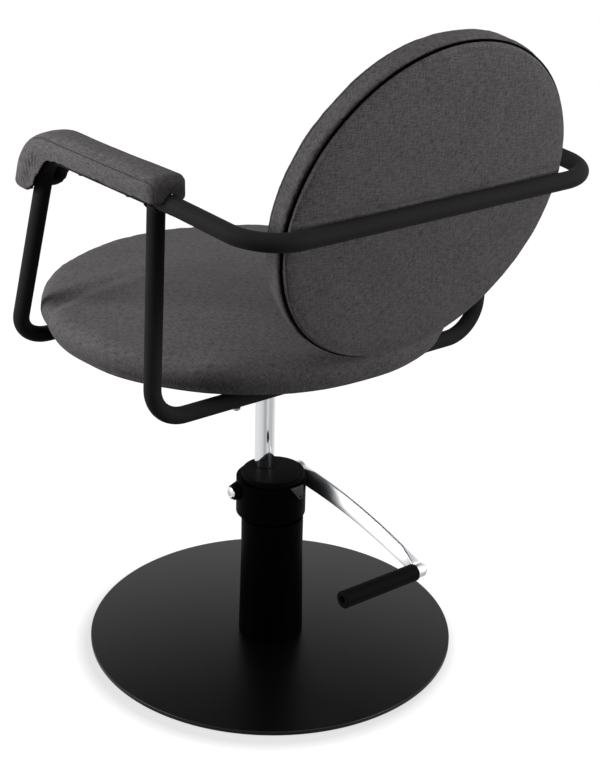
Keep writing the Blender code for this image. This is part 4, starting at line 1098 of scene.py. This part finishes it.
# The point on a pad's path at a length from its rear end, with the way out of the bend there
def padSpot(along, side):
    turned = min(max((along - padRun) / tube["armBend"], 0), padTurn)
    outward = Vector((0, -math.sin(turned), math.cos(turned)))
    if along < padRun:
        y = pad["rear"] - along
        return Vector((side * railX(y), y, armZ)), outward
    middle = Vector((side * railX(-tube["armFront"]), padBendY, armZ - tube["armBend"]))
    past = max(0, along - padRun - padTurn * tube["armBend"])
    return middle + outward * tube["armBend"] + padLean * past, outward


# Draws the ends of a pad in to a round, and leans the curl's end down at its front
def roundPadEnds(piece, side):
    points = pointsOf(piece)
    along, across, out, outward = onPad(points, side)
    for gone, radius in ((along, pad["rearRound"]), (padLength - along, pad["curlRound"])):
        near = np.clip(radius - gone, 0, radius)
        inset = np.minimum(radius - np.sqrt(radius * radius - near * near), pad["roundMost"] * radius)
        points[:, 0] -= side * across * inset / pad["half"]
        height = np.maximum(0, out - pad["seat"]) / (pad["top"] - pad["seat"])
        points -= outward * (height * inset * pad["roundTop"])[:, None]
    along, across, out, outward = onPad(points, side)
    near = np.clip(1 - (padLength - along) / pad["leanFrom"], 0, 1)
    points += np.outer(pad["lean"] * near * near * np.clip(out / pad["top"], 0, 1), padLean)
    setPoints(piece, points)


# Makes a pad's sides hang lower round the front bend, so that they hide the tube's flanks there
def hangSides(bm, side):
    hood = {"depth": 0.019, "before": 0.012, "rise": 0.05, "end": 0.022}
    points = np.array([v.co[:] for v in bm.verts])
    along, across, out, outward = onPad(points, side)
    front = np.clip((along - padRun + hood["before"]) / hood["rise"], 0, 1)
    lip = (out < pad["low"] + pad["lap"]) & (np.abs(across) > pad["channel"] - pad["lap"])
    end = np.clip((padLength - along) / hood["end"], 0, 1)
    shift = hood["depth"] * front * front * (3 - 2 * front) * np.sqrt(end) * lip
    for vert, way, drop in zip(bm.verts, outward, shift):
        vert.co -= Vector(way) * drop


# Closes the underside of a pad at one end, with an arch for the tube
def closePad(bm, begin, side):
    spot, outward = padSpot(begin, side)
    end, _ = padSpot(begin + pad["end"], side)
    gap = tube["radius"] + pad["arch"]
    outer = pad["channel"] + pad["lap"]
    roof = pad["seat"] + pad["lap"]
    begins = math.asin((pad["low"] - tube["raise"]) / gap)
    section = [(outer, roof), (outer, pad["low"])]
    for k in range(pad["archSteps"] + 1):
        angle = begins + (math.pi - 2 * begins) * k / pad["archSteps"]
        section.append((gap * math.cos(angle), tube["raise"] + gap * math.sin(angle)))
    section += [(-outer, pad["low"]), (-outer, roof)]
    verts, edges = ringOf(bm, [spot + Vector((a * side, 0, 0)) + outward * b for a, b in section])
    sweepRing(bm, verts, edges, [{"run": end - spot}], pad["step"])


# Low black screws from below through the rail into the pad's plate
def makePadScrews():
    screw = {"head": 0.005, "proud": 0.0009, "shank": 0.0025, "socket": 0.0015, "depth": 0.0005,
             "flat": 0.8, "flatEdge": 0.0004, "tipEdge": 0.0003}
    for number in range(1, 5):
        node = "pad_screw_" + str(number)
        low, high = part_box(node)
        middle = (low + high) / 2
        seat = railZ - tube["radius"]
        shape = spinShape([
            (0, high.z, 0),
            (screw["shank"], high.z, screw["tipEdge"]),
            (screw["shank"], seat, 0),
            (screw["head"], seat, 0),
            (screw["head"] * screw["flat"], seat - screw["proud"], screw["flatEdge"]),
            (0, seat - screw["proud"], 0),
        ], steps=32, matrix=Matrix.Translation((middle.x, middle.y, 0)))
        below = Vector((middle.x, middle.y, seat - overrun))
        key = rodShape(below, below + upZ * (overrun + screw["depth"]), screw["socket"], sides=6)
        addPiece("padScrew" + str(number), combine(shape, key, "DIFFERENCE"), "seat", dippedEnamel,
                 [node], sharp=30)
    print("pad screws made")


def makePads():
    for side, word in arms:
        start, _ = padSpot(0, side)
        corner = Vector((side * railX(-tube["armFront"]), -tube["armFront"], armZ))
        reach = tube["armBend"] * math.tan(padTurn / 2) + pad["curl"]
        legs = pathLegs([start, corner, corner + padLean * reach], (tube["armBend"],))
        shoulder = pad["top"] - pad["crown"]
        section = [
            (pad["channel"], pad["seat"]), (pad["channel"], pad["low"]), (pad["half"], pad["low"]),
            (pad["half"], shoulder - pad["wallTop"]), (pad["half"] - pad["wallIn"], shoulder),
        ]
        section += [(pad["half"] * a, pad["top"] - pad["crown"] * b) for a, b in pad["crownShape"]]
        section += [(0, pad["top"])] + [(-a, b) for a, b in reversed(section)]
        bm = bmesh.new()
        verts, edges = ringOf(bm, [start + Vector((a * side, 0, b)) for a, b in section])
        sweepRing(bm, verts, edges, legs, pad["step"], bendStep=6)
        closePad(bm, 0, side)
        closePad(bm, padLength - pad["end"], side)
        hangSides(bm, side)
        piece = addPiece(word + "ArmPad", remeshed("padWork", bm, pad["voxel"]), "seat",
                         upholsteryCloth, [word + "_arm_pad"], sharp=180)
        roundPadEnds(piece, side)
        _, across, out, _ = onPad(pointsOf(piece), side)
        tight = (out < pad["seat"] + pad["lap"]) & (np.abs(across) < pad["channel"] + pad["lap"])
        held = {int(i): 1.0 for i in np.nonzero(tight | (out < pad["low"] + 2 * pad["lap"]))[0]}
        swell(piece, pad, held)
        refine(piece)
        sewPad(piece, side, word)
    print("pads made")


# Seams along both upper edges of a pad, gathers where its sides are crowded in the bend, and the stitches;
# the seam grooves and the gathers' valleys are given painted shade
def sewPad(piece, side, word):
    seam = {"begin": 0.004, "fade": 0.01, "reach": 0.008, "groove": 0.0016, "line": 0.0011, "dark": 0.9}
    gather = {"depth": 0.0010, "pitch": 0.0105, "rise": 0.010, "mid": 0.006, "after": 0.01, "fadeIn": 0.02,
              "fadeOut": 0.012, "dark": 0.35}
    wave = {"depth": 0.0005, "pitch": 61, "from": 0.86, "fade": 0.003}
    stitch = {"pitch": 0.0046, "length": 0.0031, "radius": 0.00042, "below": 0.0026, "begin": 0.018,
              "spare": 0.026, "from": 0.06}
    points = pointsOf(piece)
    normals = normalsOf(piece)
    along, across, out, _ = onPad(points, side)
    shoulder = pad["top"] - pad["crown"] + pad["seamIn"]
    off = np.hypot(np.abs(across) - pad["half"], out - shoulder)
    ridge = np.abs((np.abs(across) - pad["half"]) - (out - shoulder)) / math.sqrt(2)
    ends = np.clip((along - seam["begin"]) / seam["fade"], 0, 1) * (off < seam["reach"])
    groove = np.exp(-(ridge / seam["groove"]) ** 2) * ends
    curl = np.clip((along - padRun - gather["after"]) / gather["fadeIn"], 0, 1)
    curl *= np.clip((padLength - along) / gather["fadeOut"], 0, 1)
    sides = np.clip((np.abs(across) - pad["half"] * wave["from"]) / wave["fade"], 0, 1)
    low = np.exp(-((out - gather["mid"]) / gather["rise"]) ** 2)
    ripple = np.sin(2 * math.pi * along / gather["pitch"] + 5 * out / gather["rise"])
    shift = -pad["groove"] * groove + gather["depth"] * ripple * curl * sides * low
    shift += wave["depth"] * np.sin(along * wave["pitch"] + 2 * side) * sides
    points = points + normals * shift[:, None]
    setPoints(piece, points)
    # Painted shade: the seam groove is darkened along its line, and the valleys of the gathers by their dark
    # share
    dark = np.exp(-(ridge / seam["line"]) ** 2) * ends
    gatherShade = gather["dark"] * curl * sides * low * np.clip(-ripple, 0, 1)
    around = across - np.minimum(0, out - shoulder) * np.sign(across)
    setWeave(piece, along, around, np.clip(seam["dark"] * dark + gatherShade, 0, 1))

    graph = bpy.context.evaluated_depsgraph_get()
    surface = BVHTree.FromObject(piece, graph)
    bm = bmesh.new()
    count = int((padLength - stitch["spare"]) / stitch["pitch"])
    for edge in (1, -1):
        for k in range(count):
            here = stitch["begin"] + k * stitch["pitch"]
            spot, outward = padSpot(here, side)
            ahead, _ = padSpot(here + pad["lap"], side)
            away = Vector((side * edge, 0, 0))
            origin = spot + away * stitch["from"] + outward * (shoulder - stitch["below"])
            hit, normal, _, _ = surface.ray_cast(origin, -away)
            if hit is None:
                continue
            lie = (ahead - spot).normalized()
            rise = normal.cross(lie).normalized()
            turn = Matrix((rise, normal, lie)).transposed().to_4x4()
            size = Matrix.Diagonal((stitch["radius"], stitch["radius"], stitch["length"] / 2, 1))
            bmesh.ops.create_uvsphere(bm, u_segments=6, v_segments=5, radius=1,
                                      matrix=Matrix.Translation(hit) @ turn @ size)
    addPiece(word + "PadStitches", bm, "seat", sewingThread)


# The plunger's return spring, drawn at one length; the real one shortens as the plunger goes down
def makeSpring():
    spring = {"wire": 0.0008, "around": 8, "turns": 5, "steps": 24, "stroke": 0.0134}
    low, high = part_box("plunger_spring")
    middle = (low + high) / 2
    foot = Vector((high.x - spring["wire"], middle.y, low.z + spring["wire"]))
    count = spring["turns"] * spring["steps"]
    rise = (high.z - low.z - 2 * spring["wire"]) / count
    angles = [2 * math.pi * k / spring["around"] for k in range(spring["around"])]
    bm = bmesh.new()
    verts, edges = ringOf(bm, [foot + spring["wire"] * Vector((math.cos(a), 0, math.sin(a))) for a in angles])
    bmesh.ops.spin(bm, geom=verts + edges, cent=middle, axis=upZ, dvec=upZ * rise,
                   angle=2 * math.pi * spring["turns"], steps=count)
    bmesh.ops.holes_fill(bm, edges=[e for e in bm.edges if e.is_boundary], sides=spring["around"])
    bmesh.ops.recalc_face_normals(bm, faces=bm.faces)
    piece = addPiece("plungerSpring", bm, "base", zincSteel, ["plunger_spring"])
    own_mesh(piece)
    print("spring made")


makeBase()
makeColumn()
makeHead()
makeCap()
makeBolt()
makeLug()
makeLever()
makeSwivel()
makeFrame()
makeSeat()
makeBackBoard()
makeBackCushion()
makeBackPanel()
makePads()
makePadScrews()
makeSpring()


# CAD nodes that keep their shape and take a finish
def finishNodes():
    finishes = {
        zincSteel: ["base_screw_", "seat_screw_", "back_bolt_", "plunger", "pressure_cylinder",
                    "lever_yoke", "lever_shaft", "ram_piston"],
        naturalNylon: ["swivel_bush", "thrust_washer"],
        stainedPly: ["seat_board"],
        dippedEnamel: ["left_pad_plate", "right_pad_plate"],
    }
    for material, names in finishes.items():
        for node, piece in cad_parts.items():
            if any(node.startswith(name) for name in names):
                piece.data.materials.clear()
                piece.data.materials.append(material)
    print("CAD pieces finished")


finishNodes()


# One where the camera, or a ray from metal or glass, looks straight at a surface
def seenDirectly(tree):
    path = addNode(tree, "ShaderNodeLightPath")
    seen = addNode(tree, "ShaderNodeMath", {"operation": "MAXIMUM"},
                   {0: path.outputs["Is Camera Ray"], 1: path.outputs["Is Glossy Ray"]})
    clear = addNode(tree, "ShaderNodeMath", {"operation": "MAXIMUM"},
                    {0: seen.outputs[0], 1: path.outputs["Is Transmission Ray"]})
    return clear.outputs[0]


# Pale floor, with a painted contact shadow: its glow drops in a ring round the base
def makeFloor():
    look = {"size": 30, "floor": "#606060", "shadowGlow": 0.70, "near": 0.296, "far": 0.325,
            "shade": (0.018, 0.011, 0)}
    bm = bmesh.new()
    bmesh.ops.create_grid(bm, x_segments=1, y_segments=1, size=look["size"])
    mesh = bpy.data.meshes.new("floor")
    bm.to_mesh(mesh)
    bm.free()
    material, tree, shader = startMaterial("paleFloor", {"Roughness": 0.9, "Specular IOR Level": 0.0})
    shader.inputs["Base Color"].default_value = hexColour(look["floor"])
    place = addNode(tree, "ShaderNodeTexCoord")
    moved = addNode(tree, "ShaderNodeVectorMath", {"operation": "SUBTRACT", 1: look["shade"]},
                    {0: place.outputs["Object"]})
    away = addNode(tree, "ShaderNodeVectorMath", {"operation": "LENGTH"}, {0: moved.outputs["Vector"]})
    # Painted shadow: the glow is lower inside the near radius and rises to full at the far radius, round a
    # centre moved a little off the base's own by shade
    level = addNode(tree, "ShaderNodeMapRange",
                    {"From Min": look["near"], "From Max": look["far"], "To Min": look["shadowGlow"]},
                    {"Value": away.outputs["Value"]})
    # Painted reflections: to glossy rays the floor glows lighter and darker by turns round the chair, as a
    # studio for chrome to mirror
    split = addNode(tree, "ShaderNodeSeparateXYZ", {}, {0: place.outputs["Object"]})
    turn = addNode(tree, "ShaderNodeMath", {"operation": "ARCTAN2"},
                   {0: split.outputs["Y"], 1: split.outputs["X"]})
    around = addNode(tree, "ShaderNodeMapRange", {"From Min": -math.pi, "From Max": math.pi},
                     {"Value": turn.outputs[0]})
    studio = addNode(tree, "ShaderNodeValToRGB", {}, {0: around.outputs["Result"]})
    stops = [(0.0, 0.86), (0.10, 0.92), (0.30, 0.84), (0.45, 0.78), (0.58, 0.64), (0.65, 0.36), (0.69, 0.50),
             (0.74, 0.75), (0.80, 0.48), (0.88, 0.52), (0.95, 0.74)]
    ramp = studio.color_ramp.elements
    while len(ramp) < len(stops):
        ramp.new(0.5)
    for element, (spot, grey) in zip(ramp, stops):
        element.position = spot
        element.color = (grey, grey, grey, 1)
    path = addNode(tree, "ShaderNodeLightPath")
    mirrored = addNode(tree, "ShaderNodeMix", {"data_type": "FLOAT", 2: 1.0},
                       {0: path.outputs["Is Glossy Ray"], 3: studio.outputs["Color"]})
    seen = addNode(tree, "ShaderNodeMath", {"operation": "MULTIPLY"},
                   {0: seenDirectly(tree), 1: mirrored.outputs[0]})
    glow = addNode(tree, "ShaderNodeMath", {"operation": "MULTIPLY"},
                   {0: level.outputs["Result"], 1: seen.outputs[0]})
    shader.inputs["Emission Color"].default_value = (1, 1, 1, 1)
    tree.links.new(glow.outputs[0], shader.inputs["Emission Strength"])
    mesh.materials.append(material)
    floor = bpy.data.objects.new("floor", mesh)
    scene.collection.objects.link(floor)
    print("floor made")


# White surround
def makeWorld():
    look = {"ambient": 0.08, "darkWay": (-0.602, -0.798, 0), "darkAt": 50, "darkWithin": 15,
            "whiteBeyond": 22, "aloft": 0.0}
    world = bpy.data.worlds.new("whiteStudio")
    scene.world = world
    world.use_nodes = True
    tree = world.node_tree
    # Mirrors see a white surround with a dark place high up across from the camera
    way = addNode(tree, "ShaderNodeTexCoord")
    across = Vector(look["darkWay"]) * math.cos(math.radians(look["darkAt"]))
    dark = across + upZ * math.sin(math.radians(look["darkAt"]))
    near = addNode(tree, "ShaderNodeVectorMath", {"operation": "DOT_PRODUCT", 1: dark},
                   {0: way.outputs["Generated"]})
    limits = [math.cos(math.radians(look[key])) for key in ("darkWithin", "whiteBeyond")]
    ceiling = addNode(tree, "ShaderNodeMapRange",
                      {"From Min": limits[0], "From Max": limits[1], "To Min": look["aloft"]},
                      {"Value": near.outputs["Value"]})
    path = addNode(tree, "ShaderNodeLightPath")
    mirrored = addNode(tree, "ShaderNodeMix", {"data_type": "FLOAT", 2: look["ambient"]},
                       {0: path.outputs["Is Glossy Ray"], 3: ceiling.outputs["Result"]})
    straight = addNode(tree, "ShaderNodeMath", {"operation": "MAXIMUM"},
                       {0: path.outputs["Is Camera Ray"], 1: path.outputs["Is Transmission Ray"]})
    level = addNode(tree, "ShaderNodeMix", {"data_type": "FLOAT", 3: 1.0},
                    {0: straight.outputs[0], 2: mirrored.outputs[0]})
    tree.links.new(level.outputs[0], tree.nodes["Background"].inputs["Strength"])
    tree.nodes["Background"].inputs["Color"].default_value = (1, 1, 1, 1)
    print("surround made")


def makeLamps():
    lamps = [
        {"name": "leftSoftbox", "place": (1.45, -0.62, 1.25), "aim": (0.2, 0, 0.75), "size": 0.9,
         "power": 23},
        {"name": "topSoftbox", "place": (-0.2, 1.1, 3.00), "aim": (0, 0, 0.6), "size": 1.2, "power": 14},
        {"name": "rearFill", "place": (-1.35, 2.40, 1.30), "aim": (0, 0.2, 0.80), "size": 1.2, "power": 38},
    ]
    for lamp in lamps:
        light = bpy.data.lights.new(lamp["name"], "AREA")
        light.shape = "SQUARE"
        light.size = lamp["size"]
        light.energy = lamp["power"]
        holder = bpy.data.objects.new(lamp["name"], light)
        holder.location = lamp["place"]
        aim = Vector(lamp["aim"]) - Vector(lamp["place"])
        holder.rotation_euler = aim.to_track_quat("-Z", "Y").to_euler()
        scene.collection.objects.link(holder)
    print("lamps made")


# The camera where the photograph was taken from
def makeCamera():
    view = {"azimuth": 142.962, "reach": 2.3711, "height": 1.5080, "yaw": -0.971, "pitch": 24.170,
            "roll": 1.393, "lens": 76.086, "sensor": 36}
    around = math.radians(view["azimuth"])
    spot = Vector((view["reach"] * math.sin(around), -view["reach"] * math.cos(around), view["height"]))
    heading = around + math.pi + math.radians(view["yaw"])
    dip = math.radians(view["pitch"])
    ahead = Vector((math.sin(heading) * math.cos(dip), -math.cos(heading) * math.cos(dip), -math.sin(dip)))
    roll = Matrix.Rotation(-math.radians(view["roll"]), 3, ahead)
    right = roll @ ahead.cross(upZ).normalized()
    above = right.cross(ahead)
    camera = bpy.data.cameras.new("camera")
    camera.lens = view["lens"]
    camera.sensor_width = view["sensor"]
    holder = bpy.data.objects.new("camera", camera)
    turn = Matrix((right, above, -ahead)).transposed().to_4x4()
    holder.matrix_world = Matrix.Translation(spot) @ turn
    scene.collection.objects.link(holder)
    scene.camera = holder
    scene.view_settings.view_transform = "Standard"
    print("camera made")


makeFloor()
makeWorld()
makeLamps()
makeCamera()
